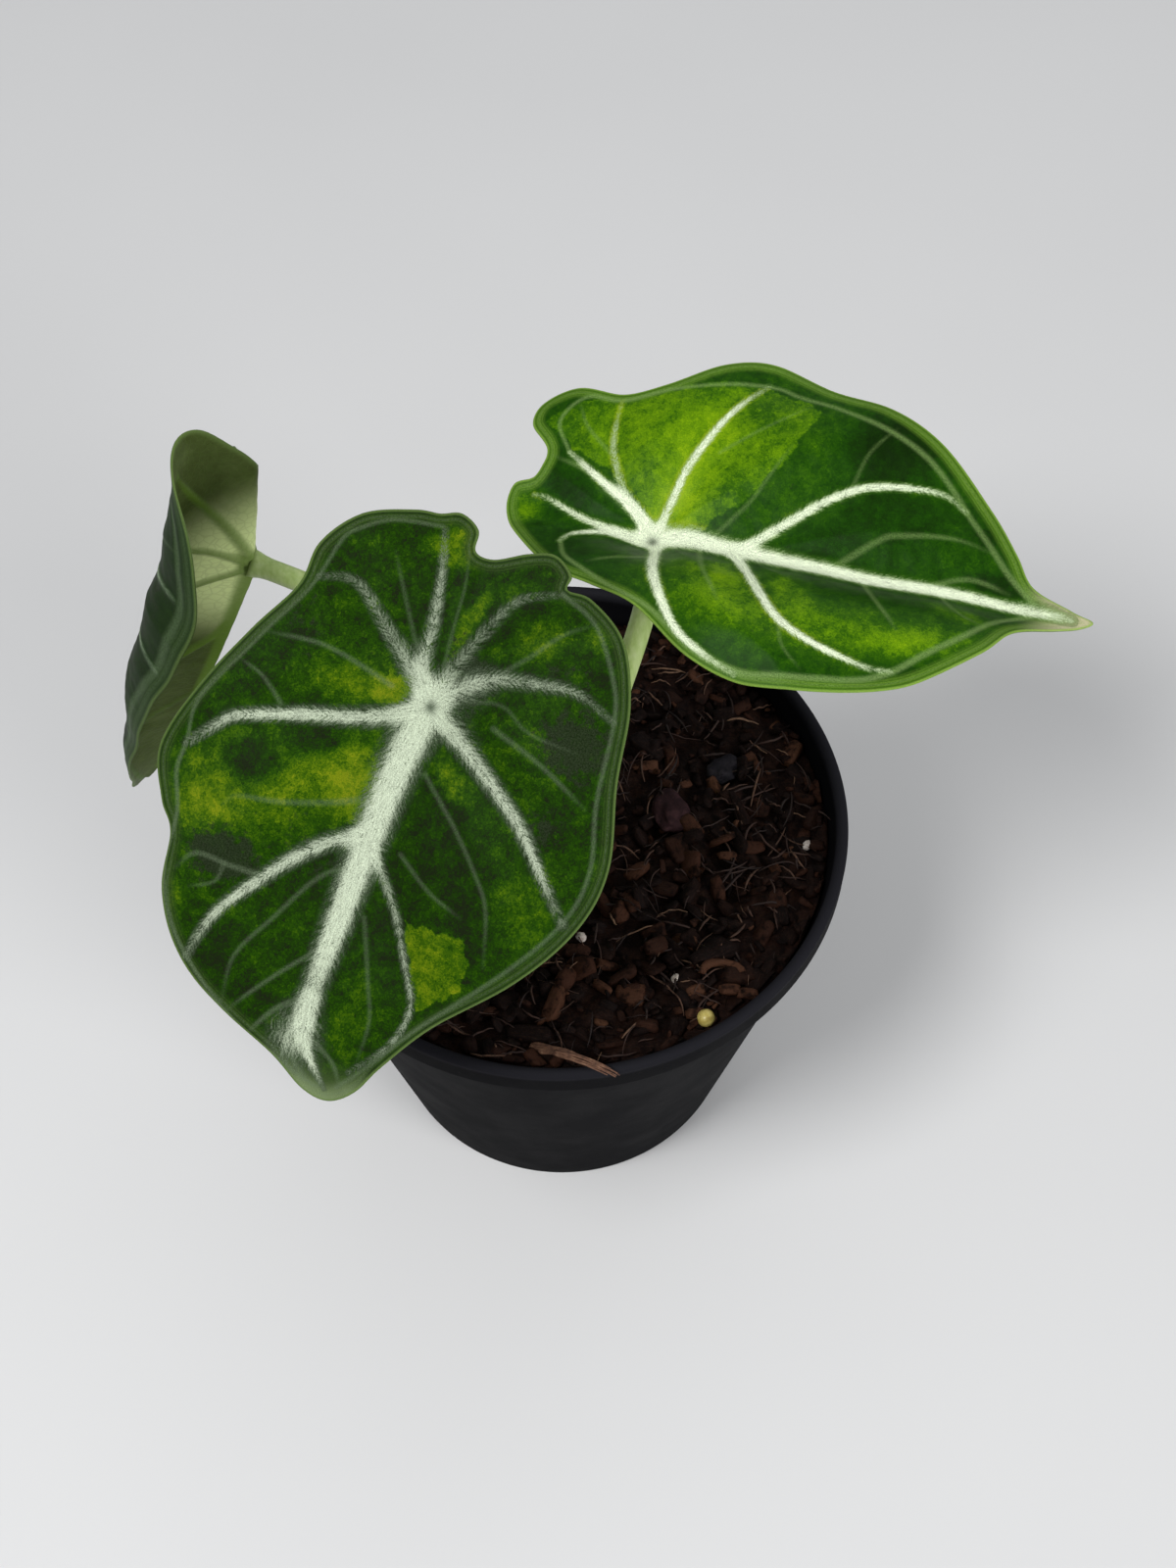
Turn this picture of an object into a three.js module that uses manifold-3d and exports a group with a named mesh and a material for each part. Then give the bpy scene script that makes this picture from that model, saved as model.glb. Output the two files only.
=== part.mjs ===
// Potted variegated alocasia: a round nursery pot, bark and husk soil, a corm with three
// leaf stalks, and three shield-shaped leaves. Millimetres, +Z up, the origin at the middle
// of the pot's bottom, the plant seen from -Y.
import * as THREE from "three";
import { mergeVertices } from "three/addons/utils/BufferGeometryUtils.js";
import Module from "manifold-3d";

const wasm = await Module();
wasm.setup();

// Driving dimensions
const GAP = 0.3; // clearance between touching pieces
const POT = {
  rimRadius: 60, // outside of the rim, a 12 cm pot
  height: 95,
  baseRadius: 41,
  wall: 1.2,
  floor: 1.6,
  footEdge: 1,
  collarHeight: 6,
  collarStep: 1.2,
  collarEdge: 0.4,
  lipSteps: 4,
  sides: 64,
};
const DRAIN = { count: 8, radius: 4, ring: 28, sides: 16 };
const SOIL = { top: 89.3, frontRise: 1.5, rings: 5, spokes: 36 };

// Bark and husk chips: sizes are [least, most], angles in radians
const CHIPS = {
  count: 52,
  seed: 2026,
  ring: 54,
  length: [4, 12],
  halfWidth: [1, 2.4],
  halfDepth: [0.8, 1.6],
  tilt: 0.25,
  roll: 0.4,
  narrowEnd: 0.6,
  standing: 0.15,
};

// The corm's outline runs from its root end up to the neck, as [share of the radius, height].
const CROWN = {
  x: 2,
  y: 0,
  radius: 7.6,
  bottom: 66,
  top: 97.5,
  outline: [[0.55, 67.5], [1, 74], [1.04, 80], [0.94, 87.3], [0.98, 92.3], [0.86, 97.5]],
  sides: 14,
};
const SCALE = { radius: 2.6, height: 15, lean: 0.16, ringShare: 0.72, angles: [-1.9, 0.35, 2.3] };

const STALK = { baseRadius: 2.7, neckRadius: 2.1, start: 92.5, ring: 3.7, steps: 12, sides: 8 };
const STALKS = {
  front: { baseAngle: -2, rise: 30, reach: 34 },
  right: { baseAngle: 0.2, rise: 26, reach: 24 },
  left: { baseAngle: 2.3, rise: 34, reach: 34 },
};
const BLADE = { thickness: 0.84, rings: 6, quilt: 1.3, quiltReach: 6, funnelReach: 7, archEase: 0.12 };
const RIB = { cover: 0.08, taper: 0.45, stations: 6, step: 10, sides: 5 };

const COLORS = {
  pot: 0x17171c,
  soil: 0x2e1b15,
  corm: 0x5b4a30,
  stalk: 0xa9c06a,
  leafGreen: 0x2f6a1d,
  leafLime: 0x6f9d1e,
  leafGrey: 0x54703f,
  mauve: 0x5d3f3d,
  slate: 0x2b2930,
  husk: 0x8a5a3a,
  perlite: 0xd8cfc6,
  pellet: 0xc9b25a,
};

// Each leaf: where its stalk joins, where its midrib heads (azimuth, fall, roll in degrees),
// the lift of its two halves, and its outline and ribs in its own plane. u runs along the
// midrib to the tip, v across it; the second of each pair of halves is the one on +v.
const LEAVES = {
  front: {
    junction: [-20.7, -24.6, 166.2],
    azimuth: -110, fall: 38, roll: -8,
    length: 72, lobe: 34, half: 40,
    wing: [6, 6], crest: [0.6, 0.6], wingMiddle: 20, wingSpan: 90, narrowing: 0,
    tipDrop: 7, lobeDrop: 3, funnel: 2,
    wave: 0.5, waveCount: 9, wavePhase: 40,
    color: "leafGreen",
    outline: [
      [72.5, 0], [71.5, -5], [66.5, -11.5], [60.5, -21], [53, -30], [42, -35.5], [32, -36.5],
      [27, -39.5], [18, -42], [6, -37.5], [-5, -31.5], [-14, -26], [-22, -24.5], [-28.5, -19],
      [-31.5, -11], [-32, -7], [-33, -3.5], [-31, 0], [-27.5, 0.5], [-27, 4], [-29.5, 9.5],
      [-30.5, 14], [-28, 17.5], [-25.5, 17.5], [-25, 22], [-20, 29], [-10, 33], [3, 34.5],
      [17.5, 37], [29, 34.5], [41, 26.5], [53, 15], [63, 8], [69, 4.5],
    ],
    ribs: {
      mid: { width: 3.6, path: [[-1, 0], [23, -4], [45, -6.3], [62, -6], [70, -1]] },
      left: { width: 2.2, path: [[0, 0], [4.5, -12], [8, -26], [15.5, -37]] },
      leftMiddle: { width: 1.4, path: [[15, -3], [20, -14], [23.5, -28]] },
      leftLow: { width: 1.9, path: [[23, -4], [32, -16.5], [42, -25], [51, -29.5]] },
      upLeft: { width: 2.1, path: [[0, 0], [-9, -8], [-17, -16], [-17, -22.5]] },
      up: { width: 1.9, path: [[0, 0], [-13, -3.2], [-28, -5.5]] },
      upRight: { width: 1.9, path: [[0, 0], [-10, 3.5], [-18, 8], [-24.5, 16]] },
      right: { width: 2.1, path: [[0, 0], [-7, 8], [-9.5, 20], [-7, 31]] },
      rightLow: { width: 2.1, path: [[0, 0], [11, 16.5], [27.5, 31.5]] },
      tipRight: { width: 1.6, path: [[25, -4], [40, 6], [51, 10], [60, 7]] },
    },
  },
  right: {
    junction: [18, 19.2, 159],
    azimuth: -16, fall: -4, roll: 6,
    length: 82, lobe: 30, half: 36,
    wing: [10, 7], crest: [0.5, 0.65], wingMiddle: 25, wingSpan: 90, narrowing: 0,
    tipDrop: 8, lobeDrop: 3, funnel: 2,
    wave: 0.4, waveCount: 9, wavePhase: 120,
    color: "leafLime",
    outline: [
      [81, 1.3], [77, 3], [69.5, 5.3], [65.5, 10.5], [59, 18.5], [49, 27], [38, 32.3],
      [27, 34.5], [15, 39], [5.5, 36.5], [-4, 30], [-12, 27], [-21.5, 27.5], [-27.5, 24],
      [-28.3, 19], [-24, 14], [-25, 9], [-29, 7], [-29, 1.5], [-24, -6], [-14, -15.5],
      [-6, -18.5], [3, -21.5], [14, -28.5], [26, -31.5], [40, -30], [53, -24.3], [63, -15],
      [68, -7], [75, -2.5],
    ],
    ribs: {
      mid: { width: 3.6, path: [[-1, 0], [28, -0.5], [57, 0.5], [79, 1.2]] },
      farBack: { width: 1.9, path: [[0, 0], [-6.5, 7], [-11, 15], [-12, 25.5]] },
      far: { width: 2.1, path: [[0, 0], [3, 12], [8, 23], [14.5, 33.5]] },
      farTip: { width: 2.1, path: [[14, 0], [25, 8], [38, 16.5], [55, 17]] },
      farTipFine: { width: 1.2, path: [[35, 0], [43, 8], [60, 10]] },
      back: { width: 1.8, path: [[0, 0], [-12, 8.5], [-22, 13]] },
      backMiddle: { width: 1.6, path: [[0, 0], [-12, 1], [-24.5, 5.5]] },
      backNear: { width: 1.5, path: [[0, 0], [-9, -0.8], [-16, -5.5]] },
      near: { width: 2, path: [[0, 0], [4, -13], [11, -24], [22, -29.5]] },
      nearTip: { width: 2, path: [[15, 0], [25, -15], [35, -21.5], [50, -23.5]] },
    },
  },
  left: {
    junction: [-59.4, 25.7, 144.2],
    azimuth: -150, fall: 66, roll: 38,
    length: 66, lobe: 32, half: 30,
    wing: [10, 14.2], crest: [0.6, 0.5], wingMiddle: 10, wingSpan: 90, narrowing: 0.8,
    tipDrop: -7, lobeDrop: -5, funnel: 0.6,
    wave: 0.3, waveCount: 9, wavePhase: 200,
    color: "leafGrey",
    outline: [
      [68, 0], [62, 5.5], [55, 11], [45, 17.5], [30, 23.5], [14, 28.5], [0, 31], [-14, 31],
      [-26, 27], [-32.5, 19], [-33, 11], [-27, 4], [-21, -1.5], [-17.5, -8], [-13, -16],
      [-5, -23], [4, -28], [15, -30], [28, -29], [41, -24.5], [53, -15.5], [61, -7.5],
    ],
    ribs: {
      mid: { width: 3.2, path: [[-1, 0], [30, 0], [64, 0]] },
      nearBack: { width: 1.9, path: [[0, 0], [-13, 7], [-27, 18]] },
      nearSide: { width: 1.7, path: [[0, 0], [-6, 10], [-8, 28]] },
      near: { width: 1.8, path: [[0, 0], [5, 11], [10, 27]] },
      nearTip: { width: 1.7, path: [[16, 0], [27, 9], [36, 19]] },
      farBack: { width: 1.7, path: [[0, 0], [-8, -8], [-11, -15]] },
      far: { width: 1.8, path: [[0, 0], [3, -12], [10, -27]] },
      farTip: { width: 1.7, path: [[16, 0], [27, -11], [38, -24]] },
    },
  },
};

// Loose bits on the soil: x, y, half sizes and turn about +Z in degrees
const BIT_STANDING = 0.35; // how far a bit's middle stands over the soil, in half heights
const BITS = {
  bark_chip_mauve: { at: [23.7, 3.4], size: [4.2, 6, 1.9], turn: 12, color: "mauve" },
  bark_chip_dark: { at: [35.4, 14.6], size: [4.6, 3.4, 1.7], turn: 35, color: "slate" },
  perlite_front: { at: [23.7, -36.7], size: [1.2, 1.2, 1.1], turn: 0, color: "perlite" },
  perlite_middle: { at: [4.8, -27.2], size: [1.1, 1.2, 1], turn: 20, color: "perlite" },
  perlite_side: { at: [51.6, -5.3], size: [1.3, 1.1, 1], turn: 60, color: "perlite" },
  feed_pellet: { at: [29.3, -45.6], size: [1.8, 1.8, 1.8], turn: 0, color: "pellet" },
};

// The husk strip's middle line: [x, y, height over the soil or over its rest on the rim]
const HUSK_STRIP = {
  halfWidth: 1.3,
  halfThickness: 0.45,
  tipShare: 0.55,
  soilEnd: [-5, -51, -0.4],
  overRim: [[1, -54.2, -1.7], [7, -57.5, 0.25], [12.5, -60.5, 0.1]],
  steps: 6,
  sides: 6,
};

// Shared helpers
function seededRandom(seed) {
  let state = seed;
  return () => {
    state = (state * 16807) % 2147483647;
    return state / 2147483647;
  };
}

function toSolid(geometry) {
  const bare = geometry.clone();
  bare.deleteAttribute("normal");
  bare.deleteAttribute("uv");
  const merged = mergeVertices(bare, 1e-5);
  return new wasm.Manifold(new wasm.Mesh({
    numProp: 3,
    vertProperties: new Float32Array(merged.attributes.position.array),
    triVerts: new Uint32Array(merged.index.array),
  }));
}

function toGeometry(solid) {
  const bodies = solid.decompose();
  bodies.sort((a, b) => b.volume() - a.volume());
  const mesh = bodies[0].getMesh();
  const geometry = new THREE.BufferGeometry();
  const positions = new Float32Array(mesh.vertProperties);
  geometry.setAttribute("position", new THREE.BufferAttribute(positions, 3));
  geometry.setIndex(new THREE.BufferAttribute(new Uint32Array(mesh.triVerts), 1));
  geometry.computeVertexNormals();
  return geometry;
}

function indexed(positions, triangles) {
  const geometry = new THREE.BufferGeometry();
  geometry.setAttribute("position", new THREE.Float32BufferAttribute(positions, 3));
  geometry.setIndex(triangles);
  return geometry;
}

// A lathe stands on +Z here, with its profile as [radius, z] pairs.
function turned(profile, sides) {
  const points = profile.map(([radius, z]) => new THREE.Vector2(radius, z));
  return new THREE.LatheGeometry(points, sides).rotateX(Math.PI / 2);
}

// Bends a straight round bar, whose length lies on +Z from 0, along a curve.
function bentAlong(bar, curve, length, side) {
  const position = bar.attributes.position;
  for (let i = 0; i < position.count; i += 1) {
    const t = THREE.MathUtils.clamp(position.getZ(i) / length, 0, 1);
    const tangent = curve.getTangentAt(t);
    const across = side.clone().cross(tangent).normalize();
    const up = tangent.clone().cross(across);
    const point = curve.getPointAt(t)
      .addScaledVector(across, position.getX(i))
      .addScaledVector(up, position.getY(i));
    position.setXYZ(i, point.x, point.y, point.z);
  }
  return bar;
}

// A round bar that narrows from one radius to another, with closed ends.
function taperedBar(startRadius, endRadius, length, steps, sides) {
  const profile = [[0, 0]];
  for (let i = 0; i <= steps; i += 1) {
    const t = i / steps;
    profile.push([THREE.MathUtils.lerp(startRadius, endRadius, t), length * t]);
  }
  profile.push([0, length]);
  return turned(profile, sides);
}

function part(name, geometry, color, roughness) {
  const look = { color: COLORS[color], roughness, metalness: 0 };
  const material = new THREE.MeshStandardMaterial(look);
  const mesh = new THREE.Mesh(geometry, material);
  mesh.name = name;
  return mesh;
}

// Pot
function innerRadius(z) {
  const top = POT.rimRadius - POT.collarStep - POT.wall;
  const bottom = POT.baseRadius - POT.wall;
  return THREE.MathUtils.lerp(bottom, top, z / POT.height);
}

function potProfile() {
  const lip = (POT.wall + POT.collarStep) / 2;
  const lipCentre = POT.rimRadius - lip;
  const collarFoot = POT.height - POT.collarHeight;
  const profile = [
    [0, 0],
    [POT.baseRadius - POT.footEdge, 0],
    [POT.baseRadius, POT.footEdge],
    [innerRadius(collarFoot) + POT.wall, collarFoot],
    [POT.rimRadius - POT.collarEdge / 2, collarFoot - POT.collarEdge],
    [POT.rimRadius, collarFoot],
  ];
  for (let i = 0; i <= POT.lipSteps; i += 1) {
    const angle = (Math.PI * i) / POT.lipSteps;
    profile.push([lipCentre + lip * Math.cos(angle), POT.height - lip + lip * Math.sin(angle)]);
  }
  profile.push([innerRadius(POT.floor), POT.floor], [0, POT.floor]);
  return profile;
}

function potGeometry() {
  let pot = toSolid(turned(potProfile(), POT.sides));
  for (let i = 0; i < DRAIN.count; i += 1) {
    const angle = ((i + 0.5) * 2 * Math.PI) / DRAIN.count;
    const hole = new THREE.CylinderGeometry(DRAIN.radius, DRAIN.radius, 4 * POT.floor, DRAIN.sides);
    hole.rotateX(Math.PI / 2);
    hole.translate(DRAIN.ring * Math.cos(angle), DRAIN.ring * Math.sin(angle), 0);
    pot = pot.subtract(toSolid(hole));
  }
  return toGeometry(pot);
}

// Soil
function soilTop(x, y) {
  const lean = (-SOIL.frontRise * y) / POT.rimRadius;
  const broadLumps = 0.7 * Math.sin(0.21 * x + 1) * Math.cos(0.17 * y);
  const smallLumps = 0.45 * Math.sin(0.47 * x - 0.39 * y);
  return SOIL.top + lean + broadLumps + smallLumps;
}

function soilBody() {
  const positions = [0, 0, POT.floor + GAP, 0, 0, soilTop(0, 0)];
  const triangles = [];
  const floorRadius = innerRadius(POT.floor) - GAP;
  const topRadius = innerRadius(SOIL.top) - GAP;
  const ringStart = (ring) => 2 + ring * SOIL.spokes;
  for (let ring = 0; ring <= SOIL.rings; ring += 1) {
    for (let spoke = 0; spoke < SOIL.spokes; spoke += 1) {
      const angle = (2 * Math.PI * spoke) / SOIL.spokes;
      const radius = ring === 0 ? floorRadius : (topRadius * (SOIL.rings + 1 - ring)) / SOIL.rings;
      const x = radius * Math.cos(angle);
      const y = radius * Math.sin(angle);
      positions.push(x, y, ring === 0 ? POT.floor + GAP : soilTop(x, y));
    }
  }
  for (let spoke = 0; spoke < SOIL.spokes; spoke += 1) {
    const next = (spoke + 1) % SOIL.spokes;
    triangles.push(0, ringStart(0) + next, ringStart(0) + spoke);
    triangles.push(1, ringStart(SOIL.rings) + spoke, ringStart(SOIL.rings) + next);
    for (let ring = 0; ring < SOIL.rings; ring += 1) {
      const a = ringStart(ring) + spoke;
      const b = ringStart(ring) + next;
      const c = ringStart(ring + 1) + next;
      const d = ringStart(ring + 1) + spoke;
      triangles.push(a, b, c, a, c, d);
    }
  }
  return toSolid(indexed(positions, triangles));
}

// The inside of the pot, up past its rim, less the clearance
function potCavity() {
  const reach = 1.1 * POT.height;
  return toSolid(turned([
    [0, POT.floor + GAP],
    [innerRadius(POT.floor) - GAP, POT.floor + GAP],
    [innerRadius(POT.height) - GAP, POT.height],
    [innerRadius(POT.height) - GAP, reach],
    [0, reach],
  ], POT.sides));
}

function clearOfPlants(x, y, reach) {
  const bits = Object.values(BITS).map((bit) => ({ at: bit.at, radius: 3 }));
  const spots = [{ at: [CROWN.x, CROWN.y], radius: CROWN.radius }, ...bits];
  return spots.every(({ at, radius }) => Math.hypot(x - at[0], y - at[1]) > reach + radius);
}

// Bark and husk chips: flakes narrower at one end, scattered and half sunk
function chipSolids() {
  const random = seededRandom(CHIPS.seed);
  const between = ([least, most], share) => THREE.MathUtils.lerp(least, most, share);
  const chips = [];
  while (chips.length < CHIPS.count) {
    const angle = 2 * Math.PI * random();
    const radius = CHIPS.ring * Math.sqrt(random());
    const length = between(CHIPS.length, random() ** 2);
    const width = between(CHIPS.halfWidth, random());
    const depth = between(CHIPS.halfDepth, random());
    const yaw = Math.PI * random();
    const tilt = CHIPS.tilt * (2 * random() - 1);
    const roll = CHIPS.roll * (2 * random() - 1);
    const x = radius * Math.cos(angle);
    const y = radius * Math.sin(angle);
    if (clearOfPlants(x, y, length / 2)) {
      const chip = new THREE.CylinderGeometry(CHIPS.narrowEnd * width, width, length, 3);
      chip.rotateZ(Math.PI / 2);
      chip.scale(1, 1, depth / width);
      chip.rotateX(roll).rotateY(tilt).rotateZ(yaw);
      chip.translate(x, y, soilTop(x, y) + CHIPS.standing * depth);
      chips.push(toSolid(chip));
    }
  }
  return chips;
}

function soilGeometry() {
  let soil = wasm.Manifold.union([soilBody(), ...chipSolids()]).intersect(potCavity());
  soil = soil.subtract(crownSolid(GAP)).subtract(huskStripSolid(GAP));
  for (const bit of Object.values(BITS)) {
    soil = soil.subtract(bitSolid(bit, GAP));
  }
  return toGeometry(soil);
}

// Corm and crown: a corm in the soil and a short neck of clasping stalk bases
function crownSolid(grow) {
  const radius = CROWN.radius + grow;
  const outline = CROWN.outline.map(([share, z]) => [share * radius, z === CROWN.top ? z + grow : z]);
  const profile = [[0, CROWN.bottom - grow], ...outline, [0, CROWN.top + grow]];
  const body = turned(profile, CROWN.sides);
  body.translate(CROWN.x, CROWN.y, 0);
  return toSolid(body);
}

// A pointed dry scale that stands round the neck between two stalks
function crownScale(angle) {
  const scale = new THREE.ConeGeometry(SCALE.radius, SCALE.height, 5);
  scale.rotateX(Math.PI / 2);
  scale.rotateY(SCALE.lean);
  scale.translate(SCALE.ringShare * CROWN.radius, 0, CROWN.top);
  scale.rotateZ(angle);
  scale.translate(CROWN.x, CROWN.y, 0);
  return toSolid(scale);
}

function crownGeometry(stalks) {
  let crown = crownSolid(0);
  for (const angle of SCALE.angles) {
    crown = crown.add(crownScale(angle));
  }
  for (const stalk of stalks) {
    crown = crown.subtract(stalk);
  }
  return toGeometry(crown);
}

// Leaf surface: a lifted arch on each side of the midrib, a falling tip, and a raised
// quilt between the ribs
function leafFrame(leaf) {
  const azimuth = THREE.MathUtils.degToRad(leaf.azimuth);
  const fall = THREE.MathUtils.degToRad(leaf.fall);
  const roll = THREE.MathUtils.degToRad(leaf.roll);
  const along = new THREE.Vector3(
    Math.cos(azimuth) * Math.cos(fall), Math.sin(azimuth) * Math.cos(fall), -Math.sin(fall));
  const level = new THREE.Vector3(-Math.sin(azimuth), Math.cos(azimuth), 0);
  const upright = along.clone().cross(level);
  const across = level.clone().multiplyScalar(Math.cos(roll)).addScaledVector(upright, Math.sin(roll));
  return { along, across, up: along.clone().cross(across) };
}

function arch(share, crest) {
  const x = (share * share) / (share + BLADE.archEase) / crest;
  return x * (2 - x);
}

function smoothPath(points, closed) {
  const vectors = points.map(([u, v]) => new THREE.Vector3(u, v, 0));
  return new THREE.CatmullRomCurve3(vectors, closed, "catmullrom", 0.5);
}

function distanceToSegment(u, v, [au, av], [bu, bv]) {
  const du = bu - au;
  const dv = bv - av;
  const t = THREE.MathUtils.clamp(((u - au) * du + (v - av) * dv) / (du * du + dv * dv), 0, 1);
  return Math.hypot(u - au - t * du, v - av - t * dv);
}

function distanceToRibs(leaf, u, v) {
  let nearest = Infinity;
  for (const { path } of Object.values(leaf.ribs)) {
    for (let i = 1; i < path.length; i += 1) {
      nearest = Math.min(nearest, distanceToSegment(u, v, path[i - 1], path[i]));
    }
  }
  return nearest;
}

function leafHeight(leaf, u, v) {
  const side = v > 0 ? 1 : 0;
  const fade = Math.max(0, 1 - ((u - leaf.wingMiddle) / leaf.wingSpan) ** 2);
  const narrow = 1 - leaf.narrowing * (Math.max(u, 0) / leaf.length) ** 2;
  const radius = Math.hypot(u, v);
  const phase = THREE.MathUtils.degToRad(leaf.wavePhase);
  const wave = Math.sin(leaf.waveCount * Math.atan2(v, u) + phase);
  const quilt = 1 - Math.exp(-((distanceToRibs(leaf, u, v) / BLADE.quiltReach) ** 2));
  return leaf.wing[side] * fade * narrow * arch(Math.abs(v) / (leaf.half * narrow), leaf.crest[side])
    - leaf.tipDrop * (Math.max(u, 0) / leaf.length) ** 2
    - leaf.lobeDrop * (Math.max(-u, 0) / leaf.lobe) ** 2
    - leaf.funnel * Math.exp(-((radius / BLADE.funnelReach) ** 2))
    + leaf.wave * (radius / leaf.half) ** 2 * wave
    + BLADE.quilt * quilt;
}

function leafPoint(leaf, u, v, offset = 0) {
  const { along, across, up } = leafFrame(leaf);
  const step = 0.5;
  const slopeU = (leafHeight(leaf, u + step, v) - leafHeight(leaf, u - step, v)) / (2 * step);
  const slopeV = (leafHeight(leaf, u, v + step) - leafHeight(leaf, u, v - step)) / (2 * step);
  const normal = up.clone().addScaledVector(along, -slopeU).addScaledVector(across, -slopeV).normalize();
  return new THREE.Vector3(...leaf.junction)
    .addScaledVector(along, u)
    .addScaledVector(across, v)
    .addScaledVector(up, leafHeight(leaf, u, v))
    .addScaledVector(normal, offset);
}

// Blade: rings and spokes about the stalk's junction, split alike on both faces
function bladeSolid(leaf, grow) {
  const spokes = 2 * leaf.outline.length;
  const edge = smoothPath(leaf.outline, true);
  const rim = Array.from({ length: spokes }, (_, i) => edge.getPoint(i / spokes));
  const half = BLADE.thickness / 2 + grow;
  const positions = [];
  const faceSize = 1 + BLADE.rings * spokes;
  for (const offset of [half, -half]) {
    positions.push(...leafPoint(leaf, 0, 0, offset).toArray());
    for (let ring = 1; ring <= BLADE.rings; ring += 1) {
      for (const point of rim) {
        const share = ring / BLADE.rings;
        positions.push(...leafPoint(leaf, share * point.x, share * point.y, offset).toArray());
      }
    }
  }
  const turnsLeft = THREE.ShapeUtils.area(rim) > 0;
  const triangles = [];
  const addBoth = (a, b, c) => {
    const [second, third] = turnsLeft ? [b, c] : [c, b];
    triangles.push(a, second, third, a + faceSize, third + faceSize, second + faceSize);
  };
  for (let spoke = 0; spoke < spokes; spoke += 1) {
    const next = (spoke + 1) % spokes;
    addBoth(0, 1 + spoke, 1 + next);
    for (let ring = 1; ring < BLADE.rings; ring += 1) {
      const inner = 1 + (ring - 1) * spokes;
      const outer = inner + spokes;
      addBoth(inner + spoke, outer + spoke, outer + next);
      addBoth(inner + spoke, outer + next, inner + next);
    }
    const last = 1 + (BLADE.rings - 1) * spokes;
    const [from, to] = turnsLeft ? [spoke, next] : [next, spoke];
    triangles.push(last + from, last + from + faceSize, last + to + faceSize);
    triangles.push(last + from, last + to + faceSize, last + to);
  }
  return toSolid(indexed(positions, triangles));
}

// Rib: a tapered bar whose top lies just inside the blade and which stands out below it
function ribSolid(leaf, rib, grow) {
  const startRadius = rib.width / 2;
  const endRadius = RIB.taper * startRadius;
  const plan = smoothPath(rib.path, false);
  const points = [];
  for (let i = 0; i <= RIB.stations; i += 1) {
    const t = i / RIB.stations;
    const { x, y } = plan.getPoint(t);
    const radius = THREE.MathUtils.lerp(startRadius, endRadius, t);
    const sunk = Math.max(0, radius - BLADE.thickness / 2 + RIB.cover);
    points.push(leafPoint(leaf, x, y, -sunk));
  }
  const curve = new THREE.CatmullRomCurve3(points);
  const length = curve.getLength();
  const steps = Math.max(3, Math.round(length / RIB.step));
  const bar = taperedBar(startRadius + grow, endRadius + grow, length, steps, RIB.sides);
  return toSolid(bentAlong(bar, curve, length, leafFrame(leaf).up));
}

function leafSolid(leaf, grow) {
  const ribs = Object.values(leaf.ribs).map((rib) => ribSolid(leaf, rib, grow));
  return wasm.Manifold.union([bladeSolid(leaf, grow), ...ribs]);
}

// Stalks: from the crown, up and over, square on to the underside of the leaf
function stalkCurve(leaf, baseAngle, rise, reach) {
  const base = new THREE.Vector3(
    CROWN.x + STALK.ring * Math.cos(baseAngle), CROWN.y + STALK.ring * Math.sin(baseAngle), STALK.start);
  const joint = leafPoint(leaf, 0, 0);
  const below = joint.clone().addScaledVector(leafFrame(leaf).up, -reach);
  const above = base.clone().add(new THREE.Vector3(0, 0, rise));
  return new THREE.CubicBezierCurve3(base, above, below, joint);
}

function stalkSolid(curve, grow) {
  const { baseRadius, neckRadius, steps, sides } = STALK;
  const length = curve.getLength();
  const bar = taperedBar(baseRadius + grow, neckRadius + grow, length, steps, sides);
  const neverAlong = new THREE.Vector3(0.2, 1, 0.1).normalize();
  return toSolid(bentAlong(bar, curve, length, neverAlong));
}

// Loose bits
function bitSolid(bit, grow) {
  const [x, y] = bit.at;
  const finer = Math.min(...bit.size) > 1.5 ? 1 : 0;
  const lump = new THREE.IcosahedronGeometry(1, finer);
  lump.scale(bit.size[0] + grow, bit.size[1] + grow, bit.size[2] + grow);
  lump.rotateZ(THREE.MathUtils.degToRad(bit.turn));
  lump.translate(x, y, soilTop(x, y) + BIT_STANDING * bit.size[2]);
  return toSolid(lump);
}

// A dry husk strip that lies with one end in the soil and crosses the front of the rim
function huskStripSolid(grow) {
  const { halfWidth, halfThickness, tipShare, soilEnd, overRim, steps, sides } = HUSK_STRIP;
  const [startX, startY, startRise] = soilEnd;
  const rest = POT.height + GAP + halfThickness;
  const curve = new THREE.CatmullRomCurve3([
    new THREE.Vector3(startX, startY, soilTop(startX, startY) + startRise),
    ...overRim.map(([x, y, rise]) => new THREE.Vector3(x, y, rest + rise)),
  ]);
  const length = curve.getLength();
  const bar = taperedBar(halfWidth + grow, tipShare * halfWidth + grow, length, steps, sides);
  const flatten = (halfThickness + grow) / (halfWidth + grow);
  bar.scale(1, flatten, 1);
  return toSolid(bentAlong(bar, curve, length, new THREE.Vector3(0, 0, 1)));
}

// Assembly
const plant = new THREE.Group();
plant.add(part("pot", potGeometry(), "pot", 0.55));
plant.add(part("soil", soilGeometry(), "soil", 0.95));

const seats = [];
for (const [name, leaf] of Object.entries(LEAVES)) {
  const { baseAngle, rise, reach } = STALKS[name];
  const curve = stalkCurve(leaf, baseAngle, rise, reach);
  const stalk = stalkSolid(curve, 0).subtract(leafSolid(leaf, GAP));
  seats.push(stalkSolid(curve, GAP));
  plant.add(part(`stalk_${name}`, toGeometry(stalk), "stalk", 0.5));
  plant.add(part(`leaf_${name}`, toGeometry(leafSolid(leaf, 0)), leaf.color, 0.45));
}
plant.add(part("corm_and_crown", crownGeometry(seats), "corm", 0.8));

for (const [name, bit] of Object.entries(BITS)) {
  plant.add(part(name, toGeometry(bitSolid(bit, 0)), bit.color, 0.85));
}
plant.add(part("husk_strip", toGeometry(huskStripSolid(0)), "husk", 0.9));

export default plant;
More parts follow.
